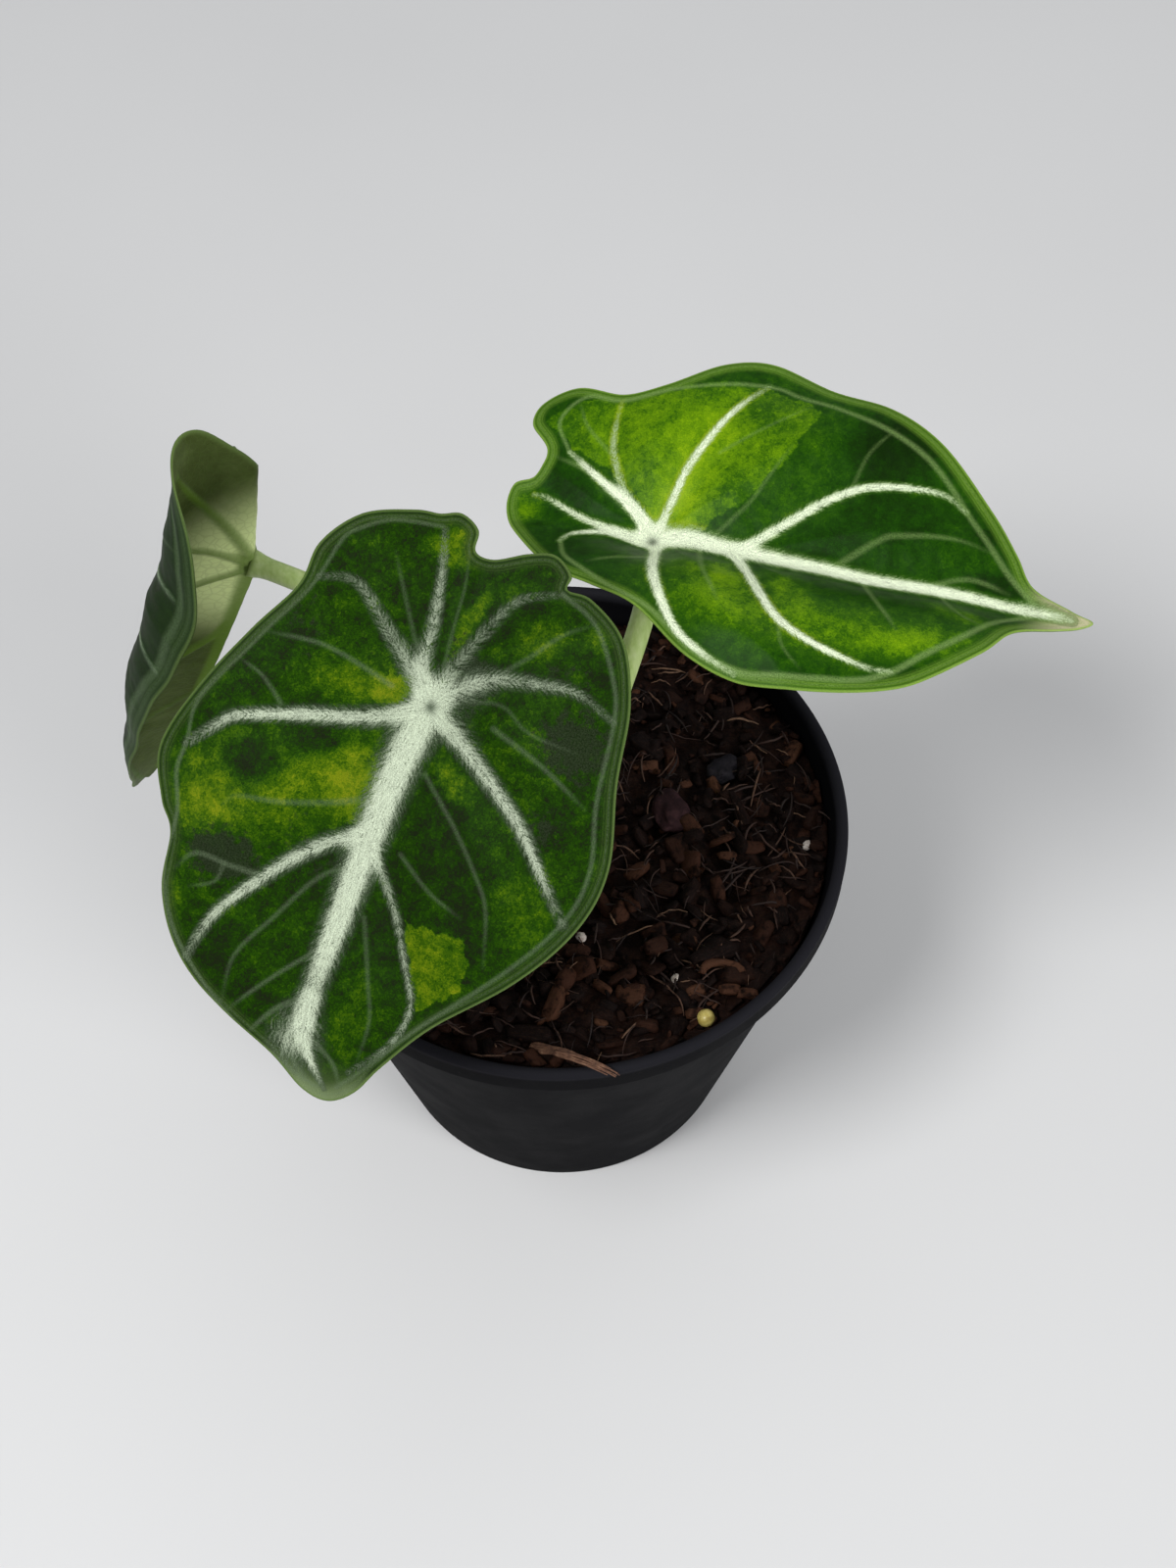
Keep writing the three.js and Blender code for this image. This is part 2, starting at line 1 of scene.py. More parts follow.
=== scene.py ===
"""Looks of a potted variegated alocasia: mottled leaves with silvery veins, stalks, soil and pot.

Sizes inside the making functions are millimetres in the part's frame; make_object turns
them into metres. Leaf shapes are drawn in each leaf's own plane: u runs from the stalk's
junction to the tip, v across it.
"""

import math
import random

import bmesh
import bpy
import numpy as np
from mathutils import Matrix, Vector, noise
from mathutils.geometry import delaunay_2d_cdt


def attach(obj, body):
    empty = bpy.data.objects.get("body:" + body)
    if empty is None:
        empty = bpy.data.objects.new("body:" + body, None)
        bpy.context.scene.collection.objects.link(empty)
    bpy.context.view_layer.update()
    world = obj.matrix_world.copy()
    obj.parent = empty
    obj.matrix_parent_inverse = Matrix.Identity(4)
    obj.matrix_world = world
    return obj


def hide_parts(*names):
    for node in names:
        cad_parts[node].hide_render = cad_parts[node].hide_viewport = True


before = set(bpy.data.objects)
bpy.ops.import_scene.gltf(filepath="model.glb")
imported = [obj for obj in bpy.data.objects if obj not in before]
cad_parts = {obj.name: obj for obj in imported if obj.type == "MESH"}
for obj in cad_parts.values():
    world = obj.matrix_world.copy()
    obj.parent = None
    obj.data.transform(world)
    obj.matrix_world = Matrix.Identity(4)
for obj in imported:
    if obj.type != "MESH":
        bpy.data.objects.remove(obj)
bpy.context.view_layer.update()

# Without a seed, noise.noise_vector differs from run to run
noise.seed_set(11)

MM = 0.001
GAP = 0.3
FULL_TURN = 2 * math.pi
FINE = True

# Pot and soil, as in the part's source
POT = {
    "rim_radius": 60, "height": 95, "base_radius": 41, "wall": 1.2, "floor": 1.6,
    "foot_edge": 1, "collar_height": 6, "collar_step": 1.2, "collar_edge": 0.4,
    "sides": 192 if FINE else 96,
}
DRAIN = {"count": 8, "radius": 4, "ring": 28, "sides": 32}
SOIL = {"top": 89.3, "front_rise": 1.5, "broad": 0.7, "small": 0.45}
CHIPS = {
    "count": 52, "seed": 2026, "ring": 54, "length": (4, 12), "half_width": (1, 2.4),
    "half_depth": (0.8, 1.6), "tilt": 0.25, "roll": 0.4, "standing": 0.15,
    "bit_room": 3, "wall_gap": 0.6, "detail": 3, "ragged": 0.24, "shape_seed": 7,
}
CROWN = {
    "x": 2, "y": 0, "radius": 7.6, "bottom": 66, "top": 97.5, "sides": 48,
    "outline": [(0.55, 67.5), (1, 74), (1.04, 80), (0.94, 87.3), (0.98, 92.3), (0.86, 97.5)],
}
SCALE = {
    "radius": 2.6, "height": 15, "ring_share": 0.72, "angles": (-1.9, 0.35, 2.3), "thick": 0.35,
    "rows": 18, "columns": 12,
}
STALK = {
    "base_radius": 2.7, "neck_radius": 2.1, "flare": 0.7, "start": 92.5, "ring": 3.7,
    "steps": 90, "sides": 24,
}
STALKS = {
    "front": {"base_angle": -2, "rise": 30, "reach": 34},
    "right": {"base_angle": 0.2, "rise": 26, "reach": 24},
    "left": {"base_angle": 2.3, "rise": 34, "reach": 34},
}
BITS = {
    "bark_chip_mauve": {"at": (23.7, 3.4), "size": (4.2, 6, 1.9), "turn": 12},
    "bark_chip_dark": {"at": (35.4, 14.6), "size": (4.6, 3.4, 1.7), "turn": 35},
    "perlite_front": {"at": (23.7, -36.7), "size": (1.2, 1.2, 1.1), "turn": 0},
    "perlite_middle": {"at": (4.8, -27.2), "size": (1.1, 1.2, 1), "turn": 20},
    "perlite_side": {"at": (51.6, -5.3), "size": (1.3, 1.1, 1), "turn": 60},
    "feed_pellet": {"at": (29.3, -45.6), "size": (1.8, 1.8, 1.8), "turn": 0},
}
BIT_STANDING = 0.35

# The soil's finer pieces, which the part's source leaves out
BED = {"rings": 84 if FINE else 40, "spokes": 240 if FINE else 120, "lump": 1.1, "sunk": 0.9}
CHIP_SHAPE = {
    "square": 0.42, "round": 0.35, "along": 0.9, "across": 2.4, "taper": 0.35, "bend": (-0.25, 0.35),
}
CRUMBS = {
    "tries": 1500 if FINE else 500, "seed": 41, "ring": 56.5, "shortest": 0.7, "longer": 2.6,
    "least": 0.35, "sunk": 0.35, "detail": 2, "ragged": 0.3,
}
FIBRES = {
    "tries": 620 if FINE else 200, "seed": 5, "ring": 54, "reach": 57, "length": (2.5, 11),
    "bend": 1.4, "steps": 8, "thick": (0.09, 0.28), "sides": 5,
}
CURLED_CHIP = {
    "at": (32.8, -36.6), "radius": 4.2, "turn": (15, 172), "thick": 0.95,
    "steps": 22, "sides": 12, "shade": 0.97,
    "crumbs": [(34.2, -39.6), (37.5, -40.5), (27.5, -44.5)], "crumb_size": (2.2, 1.1, 0.8),
    "crumb_rise": 0.7, "crumb_shade": 0.93,
}
HUSK_STRIP = {
    "half_width": 1.3, "half_thickness": 0.45, "tip_share": 0.55, "strands": 16, "seed": 3,
    "soil_end": (-5, -51, -0.4),
    "over_rim": [(1, -54.2, -1.7), (7, -57.5, 0.25), (12.5, -60.5, 0.1)],
}
BLADE = {
    "half_thickness": 0.22, "quilt": 1.3, "quilt_reach": 6, "funnel_reach": 7, "arch_ease": 0.12,
    "wing_span": 90, "wave_count": 9, "upper_relief": 0.16, "rib": 0.9, "thin_rib": 0.5, "pit": 1.2,
    "margin_line": 1.15, "spacing": 0.36 if FINE else 0.8, "under_share": 1.7,
    "margin_step": 0.32 if FINE else 0.6, "edge_rows": (0.12, 0.42),
}

# Each leaf: its place and lift as in the part's source, and its outline. Veins are
# (half width at the start, at the end, strength, path), and the ribs below have no strength.
# Patches are soft ellipses (u, v, half length, half width, turn in degrees, amount).
LEAVES = {
    "front": {
        "junction": (-20.7, -24.6, 166.2),
        "azimuth": -110, "fall": 38, "roll": -8,
        "length": 72, "lobe": 34, "half": 40,
        "wing": (6, 6), "crest": (0.6, 0.6), "wing_middle": 20, "narrowing": 0,
        "tip_drop": 7, "lobe_drop": 3, "funnel": 2,
        "wave": 0.5, "wave_phase": 40,
        "outline": [
            (72.5, 0), (71.5, -5), (66.5, -11.5), (60.5, -21), (53, -30), (42, -35.5),
            (32, -36.5), (27, -39.5), (18, -42), (6, -37.5), (-5, -31.5), (-14, -26),
            (-22, -24.5), (-28.5, -19), (-31.5, -11), (-32, -7), (-33, -3.5), (-31, 0),
            (-27.5, 0.5), (-27, 4), (-29.5, 9.5), (-30.5, 14), (-28, 17.5), (-25.5, 17.5),
            (-25, 22), (-20, 29), (-10, 33), (3, 34.5), (17.5, 37), (29, 34.5), (41, 26.5),
            (53, 15), (63, 8), (69, 4.5),
        ],
        "main_veins": {
            "mid": (3.3, 1.7, 1.0, [(-1, 0), (11.5, -2.5), (23.5, -4), (38, -5.5), (52, -7), (60, -7.3)]),
            "mid_end": (1.7, 0.35, 0.8, [(55, -7.2), (61, -7), (65.5, -5), (70.5, -1)]),
            "left": (1.7, 0.8, 0.82, [
                (0, 0), (3.5, -7.5), (5, -13), (6.5, -20), (9.5, -30), (12, -33), (16.5, -37.5),
            ]),
            "left_low": (1.5, 0.75, 0.8, [
                (24, -5.5), (27, -11), (32, -16.5), (41.5, -24.5), (47.5, -27.5), (52.5, -29),
            ]),
            "left_up": (1.7, 0.6, 0.58, [
                (0, 0), (-7, -6), (-10, -9), (-16.5, -15.5), (-17.5, -19), (-16.5, -23),
            ]),
            "up": (1.5, 0.6, 0.67, [(0, 0), (-6.5, -3), (-13, -3), (-22.5, -4), (-29.5, -5.5)]),
            "right_up": (1.6, 0.55, 0.54, [
                (0, 0), (-6, 1.5), (-10, 3.5), (-15, 6), (-21.5, 10), (-24.5, 17),
            ]),
            "right": (1.8, 0.6, 0.64, [(0, 0), (-2.5, 2), (-7.5, 9), (-9, 16.5), (-9.5, 24), (-6.5, 31)]),
            "right_low": (1.8, 0.75, 0.8, [
                (0, 0), (5.5, 9), (11, 16.5), (15.5, 21.5), (23, 27.5), (28.5, 32),
            ]),
            "tip_right": (0.95, 0.5, 0.66, [
                (25, -4), (35.5, 3.5), (44.5, 8), (51, 10.5), (58.5, 8.5), (66, 2.5),
            ]),
        },
        "fine_veins": {
            "mid_tip": (0.7, 0.4, 0.7, [(61, -7), (65, -5), (69, -2.5), (71.5, -0.5)]),
            "tip_fan_left": (0.4, 0.3, 0.5, [(61, -7.5), (66, -8), (70, -4)]),
            "tip_fan_right": (0.4, 0.3, 0.5, [(61, -6.5), (65, -1), (69, 1.5)]),
            "left_a": (0.35, 0.2, 0.4, [(5.5, -23.5), (3, -26), (1.5, -28), (0, -32)]),
            "left_b": (0.35, 0.25, 0.45, [(-2, -7), (-4, -12), (-5.5, -17), (-6, -21), (-5.5, -29)]),
            "left_c": (0.5, 0.3, 0.35, [(16, -3), (19, -9.5), (21.5, -19), (22.5, -26.5), (24.5, -28.5)]),
            "left_d": (0.45, 0.3, 0.5, [(35, -19), (34.5, -25), (34, -31), (37.5, -34)]),
            "left_e": (0.35, 0.25, 0.4, [(29, -5), (33, -10.5), (41.5, -16), (50, -21), (59, -21.5)]),
            "left_f": (0.35, 0.25, 0.5, [(44.5, -6.5), (50.5, -12.5), (57, -18), (60.5, -20.5)]),
            "left_g": (0.4, 0.3, 0.55, [(54, -7), (58, -12.5), (64, -16.5)]),
            "left_h": (0.3, 0.2, 0.35, [(34.5, -26), (38, -27), (40, -31)]),
            "up_a": (0.3, 0.2, 0.3, [(-7.5, 0.5), (-14.5, 0.5), (-21, 0.5), (-27.5, -0.5)]),
            "up_b": (0.3, 0.2, 0.3, [(-8, -4), (-16, -8), (-24, -12)]),
            "right_a": (0.35, 0.25, 0.35, [(-7.5, 9), (-13, 14.5), (-18, 19), (-21, 23.5)]),
            "right_b": (0.4, 0.25, 0.45, [(0, 12), (3.5, 21.5), (8.5, 30.5)]),
            "right_c": (0.35, 0.25, 0.4, [(11, 2.5), (18, 10), (25, 16), (30, 19), (39.5, 21)]),
            "right_d": (0.35, 0.25, 0.4, [(25.5, 2), (30, 8.5), (32.5, 15)]),
            "right_e": (0.35, 0.25, 0.35, [(38, -1.5), (48.5, 2), (55.5, 4), (64, 3.5)]),
            "right_f": (0.3, 0.2, 0.3, [(-2, 4), (-4, 12), (-1, 18), (0, 27)]),
        },
        "margin_veins": {
            "left": (0.3, 0.3, 0.6, [
                (16.5, -37.5), (21.5, -38), (28.5, -36), (37.5, -36), (45.5, -33.5), (52.5, -29),
                (60.5, -20.5), (64.5, -15), (68.5, -7.5), (70.5, -2.5),
            ]),
            "up_left": (0.26, 0.26, 0.5, [
                (16.5, -37.5), (8.5, -37), (-2, -31), (-5.5, -29), (-14, -24), (-23.5, -21), (-26.5, -18),
                (-29, -13.5), (-30, -6),
            ]),
            "right": (0.3, 0.3, 0.55, [
                (-24.5, 17), (-21, 24), (-12.5, 29.5), (-5.5, 31.2), (7, 32), (18.5, 34), (28, 32),
                (39.5, 24.5), (54, 12.5), (64.5, 5), (69.5, 1),
            ]),
        },
        "under_ribs": {
            "mid": (1.8, 0.85, [(-1, 0), (23, -4), (45, -6.3), (62, -6), (70, -1)]),
            "left": (1.1, 0.5, [(0, 0), (4.5, -12), (8, -26), (15.5, -37)]),
            "left_middle": (0.7, 0.35, [(15, -3), (20, -14), (23.5, -28)]),
            "left_low": (0.95, 0.45, [(23, -4), (32, -16.5), (42, -25), (51, -29.5)]),
            "up_left": (1.05, 0.5, [(0, 0), (-9, -8), (-17, -16), (-17, -22.5)]),
            "up": (0.95, 0.45, [(0, 0), (-13, -3.2), (-28, -5.5)]),
            "up_right": (0.95, 0.45, [(0, 0), (-10, 3.5), (-18, 8), (-24.5, 16)]),
            "right": (1.05, 0.5, [(0, 0), (-7, 8), (-9.5, 20), (-7, 31)]),
            "right_low": (1.05, 0.5, [(0, 0), (11, 16.5), (27.5, 31.5)]),
            "tip_right": (0.8, 0.4, [(25, -4), (40, 6), (51, 10), (60, 7)]),
        },
        "bright_patch": [
            (36.5, 5.5), (36, 16.5), (40, 18.5), (45.5, 17.5), (49, 14), (51.5, 11.5), (44, 8.5),
        ],
        "lime_base": 0.2,
        "lime": [
            (19, -21, 20, 9.5, -70, 0.4), (16, -25, 5, 3.6, -70, -0.5), (10, -17, 4.5, 2.6, -75, -0.4),
            (26, -31.5, 5.5, 4.5, -60, 0.28), (15, -9.5, 7, 4.5, 20, 0.3), (-1.5, -12, 9, 3.6, -80, 0.38),
            (-1, -6.5, 3.5, 2.5, -70, 0.42), (-28, -3, 4, 4.5, 0, 0.4), (-16, 3, 7, 1.5, 163, 0.42),
            (-22, 8.5, 2.6, 2, 0, 0.3), (-16.5, 16, 3, 5, 40, 0.3), (-19.5, 25, 2.4, 2.6, 0, 0.4),
            (11, 8, 5, 2.2, 55, 0.38), (55, 1, 9, 4, 0, 0.2),
            (43, -33.5, 6, 1.8, 20, 0.28), (2, 16, 9, 6, 80, 0.14), (30, 25, 9, 6, 20, 0.16),
            (-10, -15, 8, 6, -60, 0.1), (22, 9, 12, 5, 35, -0.16), (36, -13, 12, 4, -35, -0.05),
        ],
        "grey": [
            (-1, 26, 6, 6.5, 0, 0.9), (14, 23.5, 3.5, 4.5, 0, 0.55), (33, -26.5, 5, 7, 0, 0.9),
            (-8, -22, 6, 4, 0, 0.35), (30, -12, 4, 8, -50, 0.35), (-9, 6, 7, 3.5, 60, 0.6),
            (-3, 5, 5, 5, 0, 0.5), (-12, 21, 3, 5, 0, 0.4), (63, -9, 6, 7, 0, 0.45),
        ],
        "cloud": [
            (60.5, -8.5, 6, 4.6, -20, 0.5), (65, -7, 5, 5, 0, 0.34), (-5, 5.5, 6, 4.5, 130, 0.36),
            (-6, -3.5, 5, 3.5, 30, 0.32), (3, 7, 4, 3, 60, 0.3),
        ],
        "tip_from": (0.88, 0.99),
    },
    "right": {
        "junction": (18, 19.2, 159),
        "azimuth": -16, "fall": -4, "roll": 6,
        "length": 82, "lobe": 30, "half": 36,
        "wing": (10, 7), "crest": (0.5, 0.65), "wing_middle": 25, "narrowing": 0,
        "tip_drop": 8, "lobe_drop": 3, "funnel": 2,
        "wave": 0.4, "wave_phase": 120,
        "outline": [
            (81, 1.3), (77, 3), (69.5, 5.3), (65.5, 10.5), (59, 18.5), (49, 27), (38, 32.3),
            (27, 34.5), (15, 39), (5.5, 36.5), (-4, 30), (-12, 27), (-21.5, 27.5), (-27.5, 24),
            (-28.3, 19), (-24, 14), (-25, 9), (-29, 7), (-29, 1.5), (-24, -6), (-14, -15.5),
            (-6, -18.5), (3, -21.5), (14, -28.5), (26, -31.5), (40, -30), (53, -24.3), (63, -15),
            (68, -7), (75, -2.5),
        ],
        "main_veins": {
            "mid": (2.2, 1.1, 1.0, [
                (-1, 0.5), (6.5, 1), (14, 0), (28.5, -0.5), (43, -0.5), (57, 0.5), (68, 0.3), (77, 1),
            ]),
            "far": (1.0, 0.65, 0.85, [(0, 0.5), (2.5, 8.5), (4, 14), (9, 25), (14.5, 33.5)]),
            "far_back": (1.2, 0.5, 0.62, [(0, 0.5), (-6.5, 7), (-9.5, 11.5), (-11.5, 17), (-12, 25.5)]),
            "back": (1.3, 0.6, 0.92, [(0, 0.5), (-3, 4), (-12, 9), (-19.5, 14)]),
            "back_middle": (1.1, 0.5, 0.8, [(0, 0.5), (-5, 0.5), (-13, 1.5), (-21.5, 5), (-24.5, 5.5)]),
            "back_near": (1.3, 0.7, 0.88, [(0, 0.5), (-2, -1), (-8.5, -0.5), (-14.5, -2.5), (-16, -5.5)]),
            "far_tip": (1.1, 0.6, 0.86, [
                (16, 0), (23.5, 6.5), (32, 13.5), (39.5, 17), (50, 18.5), (55, 16.5),
            ]),
            "near": (1.4, 0.6, 0.92, [
                (0, 0.5), (1.5, -3.5), (4.5, -14), (10.5, -23.5), (16.5, -27.5), (23, -30),
            ]),
            "near_tip": (1.2, 0.65, 0.92, [
                (15, 0), (18.5, -5), (26.5, -17), (34, -21.5), (44, -23.5), (49, -23),
            ]),
        },
        "fine_veins": {
            "far_a": (0.5, 0.3, 0.5, [(33, 0), (40.5, 6.5), (44.5, 8.5), (55, 10.5), (61, 9.5)]),
            "far_b": (0.35, 0.2, 0.35, [(11, 2), (16, 8), (18.5, 12.5), (22, 20)]),
            "far_c": (0.4, 0.3, 0.5, [(51, 1), (58, 4), (65.5, 3)]),
            "far_d": (0.3, 0.2, 0.3, [(9, 17), (16, 23), (24, 30)]),
            "far_e": (0.3, 0.2, 0.3, [(34, 15), (36, 22), (40, 28)]),
            "back_a": (0.5, 0.3, 0.6, [(-4, 4.5), (-15, 10.5), (-22.5, 13)]),
            "back_b": (0.35, 0.2, 0.35, [(-11, 14), (-17, 19), (-20, 24)]),
            "near_a": (0.45, 0.3, 0.5, [(1.5, -6), (-4, -10), (-8, -13)]),
            "near_b": (0.45, 0.3, 0.5, [(9.5, -2), (12, -9), (15.5, -15), (17, -17.5)]),
            "near_c": (0.45, 0.3, 0.55, [(40, -2), (43.5, -8.5), (48, -14.5)]),
            "near_d": (0.3, 0.2, 0.35, [(28, -18.5), (30, -24), (34, -27.5)]),
            "near_e": (0.35, 0.25, 0.45, [(54, -1), (58, -6), (62, -8)]),
        },
        "margin_veins": {
            "near": (0.35, 0.5, 0.85, [
                (-16, -5.5), (-12, -12.5), (-2, -18.5), (6, -21.5), (14.5, -27), (23, -29.5), (30, -29.5),
                (38.5, -28), (44.5, -26), (49, -23), (53.5, -18.5), (60, -11.5), (65, -4.5), (70, -0.5),
            ]),
            "far": (0.28, 0.45, 0.7, [
                (-19.5, 14), (-23, 20), (-19, 25.5), (-11.5, 25.5), (-0.5, 29.5), (14.5, 33.5),
                (21.5, 31.5), (30.5, 29.5), (43, 25.5), (50.5, 21), (58, 13.5), (64.5, 6.5), (70, 2.5),
            ]),
        },
        "under_ribs": {
            "mid": (1.8, 0.85, [(-1, 0), (28, -0.5), (57, 0.5), (79, 1.2)]),
            "far_back": (0.95, 0.45, [(0, 0), (-6.5, 7), (-11, 15), (-12, 25.5)]),
            "far": (1.05, 0.5, [(0, 0), (3, 12), (8, 23), (14.5, 33.5)]),
            "far_tip": (1.05, 0.5, [(14, 0), (25, 8), (38, 16.5), (55, 17)]),
            "far_tip_fine": (0.6, 0.3, [(35, 0), (43, 8), (60, 10)]),
            "back": (0.9, 0.4, [(0, 0), (-12, 8.5), (-22, 13)]),
            "back_middle": (0.8, 0.4, [(0, 0), (-12, 1), (-24.5, 5.5)]),
            "back_near": (0.75, 0.4, [(0, 0), (-9, -0.8), (-16, -5.5)]),
            "near": (1, 0.45, [(0, 0), (4, -13), (11, -24), (22, -29.5)]),
            "near_tip": (1, 0.45, [(15, 0), (25, -15), (35, -21.5), (50, -23.5)]),
        },
        "bright_patch": [
            (-26, 20), (-19, 25), (-6, 27), (0, 30), (9, 33), (14, 33), (26, 29), (22, 18), (16, 9),
            (8, 3), (1, 2), (-9, 10), (-19, 15),
        ],
        "lime_base": 0.32,
        "lime": [
            (-4, 18, 14, 12, 10, 0.12), (6, 18, 6, 14, -20, 0.14), (3, 5, 8, 5, 60, 0.22),
            (23, 17, 14, 9, 20, 0.08), (41, 25, 9.5, 6.5, 25, -0.34), (42, 11.5, 11, 5, 10, -0.12),
            (64, 4, 5, 2, 0, -0.25), (16, -14, 10, 7, -50, 0.16), (28, -10, 7, 3, -50, 0.2),
            (30, -20, 14, 7, 10, 0.12), (8, -14, 9, 8, 0, 0.15),
            (24, -16, 16, 9, -10, 0.14), (48, -14, 14, 6, 15, 0.12), (52, -16.5, 10, 3.5, 15, 0.26),
            (22, -22, 9, 5, -20, -0.04), (-13, -7, 9, 4, -40, -0.06), (-25, 3, 3.5, 4, 0, 0.26),
            (58, -6, 7, 2.4, -15, 0.22), (16, -8, 5, 2.5, -60, 0.16), (10, -14, 5, 5, 0, -0.08),
            (30, 3, 8, 3, 20, -0.08), (60, 12, 5, 3, 0, -0.12), (-17, 6.5, 6, 2.4, 150, -0.14),
        ],
        "grey": [],
        "cloud": [(70, 1.5, 7, 1.6, 8, 0.5), (5, 0, 8, 3, 0, 0.34)],
        "tip_from": (0.82, 0.93),
    },
    "left": {
        "junction": (-59.4, 25.7, 144.2),
        "azimuth": -150, "fall": 66, "roll": 38,
        "length": 66, "lobe": 32, "half": 30,
        "wing": (10, 14.2), "crest": (0.6, 0.5), "wing_middle": 10, "narrowing": 0.8,
        "tip_drop": -7, "lobe_drop": -5, "funnel": 0.6,
        "wave": 0.3, "wave_phase": 200,
        "outline": [
            (68, 0), (62, 5.5), (55, 11), (45, 17.5), (30, 23.5), (14, 28.5), (0, 31), (-14, 31),
            (-26, 27), (-32.5, 19), (-33, 11), (-27, 4), (-21, -1.5), (-17.5, -8), (-13, -16),
            (-5, -23), (4, -28), (15, -30), (28, -29), (41, -24.5), (53, -15.5), (61, -7.5),
        ],
        "main_veins": {
            "mid": (1.9, 1.0, 0.9, [(-1, 0), (30, 0), (60, 0)]),
            "near_back": (1.1, 0.7, 0.75, [(0, 0), (-13, 7), (-27, 18)]),
            "near_side": (1.0, 0.6, 0.75, [(0, 0), (-6, 10), (-8, 27)]),
            "near": (1.0, 0.6, 0.75, [(0, 0), (5, 11), (10, 27)]),
            "near_tip": (1.0, 0.6, 0.75, [(16, 0), (27, 9), (36, 18.5)]),
            "far_back": (1.0, 0.6, 0.75, [(0, 0), (-8, -8), (-11, -15)]),
            "far": (1.0, 0.6, 0.75, [(0, 0), (3, -12), (10, -27)]),
            "far_tip": (1.0, 0.6, 0.75, [(16, 0), (27, -11), (38, -24)]),
        },
        "fine_veins": {
            "near_a": (0.4, 0.3, 0.5, [(34, 0), (42, 7), (49, 14)]),
            "near_b": (0.35, 0.25, 0.45, [(5, 11), (14, 16), (22, 23)]),
            "near_c": (0.35, 0.25, 0.45, [(-7, 14), (-14, 19), (-18, 27)]),
            "far_a": (0.4, 0.3, 0.5, [(34, 0), (43, -8), (50, -15)]),
            "far_b": (0.35, 0.25, 0.45, [(4, -13), (14, -18), (24, -26)]),
        },
        "margin_veins": {
            "near": (0.5, 0.5, 0.7, [
                (-27, 18), (-22, 25), (-8, 28.5), (10, 27), (24, 22.5), (36, 18.5), (49, 12.5), (58, 6.5),
                (64, 1.5),
            ]),
            "far": (0.5, 0.5, 0.7, [
                (-11, -15), (-3, -22), (10, -27), (24, -27), (38, -24), (50, -15), (60, -6), (64, 0),
            ]),
        },
        "under_ribs": {
            "mid": (1.6, 0.7, [(-1, 0), (30, 0), (64, 0)]),
            "near_back": (0.95, 0.45, [(0, 0), (-13, 7), (-27, 18)]),
            "near_side": (0.85, 0.4, [(0, 0), (-6, 10), (-8, 28)]),
            "near": (0.9, 0.4, [(0, 0), (5, 11), (10, 27)]),
            "near_tip": (0.85, 0.4, [(16, 0), (27, 9), (36, 19)]),
            "far_back": (0.85, 0.4, [(0, 0), (-8, -8), (-11, -15)]),
            "far": (0.9, 0.4, [(0, 0), (3, -12), (10, -27)]),
            "far_tip": (0.85, 0.4, [(16, 0), (27, -11), (38, -24)]),
        },
        "bright_patch": [(-24, 10), (-22, 18), (-16, 20), (-14, 12)],
        "lime_base": 0.24,
        "lime": [(-24, 14, 7, 8, 0, 0.2), (20, 12, 14, 6, 30, 0.08), (10, -12, 12, 6, -40, 0.08)],
        "grey": [(10, 20, 16, 5, -10, 0.6), (30, -15, 14, 6, 0, 0.5), (-10, 20, 8, 7, 0, 0.4)],
        "cloud": [],
        "tip_from": (0.88, 0.99),
    },
}

# Camera, fitted to the rim's ellipse in the 1200 by 1600 photograph
CAMERA = {"at": (6.2, -217.3, 436.9), "below_level": 56.78, "lens": 45, "sensor": 36}

# Lights in metres: place, width, power
LIGHTS = {
    "key": ((-0.45, -0.4, 1.0), 0.4, 9),
    "fill": ((1.2, -0.95, 0.7), 0.8, 17),
    "back": ((0.3, 0.9, 0.9), 1.2, 2),
}
LIT_POINT = (0, 0, 0.12)
SKY = {"colour": (0.80, 0.82, 0.85, 1), "strength": 0.42}
FLOOR_REACH = 12


# Curves, fields and meshes
def smooth_path(points, closed=False, per_span=10):
    """A uniform Catmull-Rom curve through the points, with per_span steps between two of them."""
    given = np.array(points, float)
    if closed:
        padded = np.vstack([given[-1:], given, given[:2]])
        spans = len(given)
    else:
        padded = np.vstack([2 * given[0] - given[1], given, 2 * given[-1] - given[-2]])
        spans = len(given) - 1
    share = np.linspace(0, 1, per_span, endpoint=False)[:, None]
    curve = []
    for i in range(spans):
        before, start, end, after = padded[i:i + 4]
        leave = 0.5 * (end - before)
        arrive = 0.5 * (after - start)
        curve.append(
            start + leave * share
            + (3 * (end - start) - 2 * leave - arrive) * share ** 2
            + (2 * (start - end) + leave + arrive) * share ** 3
        )
    curve = np.vstack(curve)
    return curve if closed else np.vstack([curve, given[-1:]])


def even_steps(curve, step, closed=False):
    """The same curve with points an even step apart."""
    line = np.vstack([curve, curve[:1]]) if closed else curve
    reach = np.concatenate([[0], np.cumsum(np.linalg.norm(np.diff(line, axis=0), axis=1))])
    count = max(2, round(reach[-1] / step))
    at = np.linspace(0, reach[-1], count + 1)
    if closed:
        at = at[:-1]
    return np.stack([np.interp(at, reach, line[:, k]) for k in range(line.shape[1])], 1)


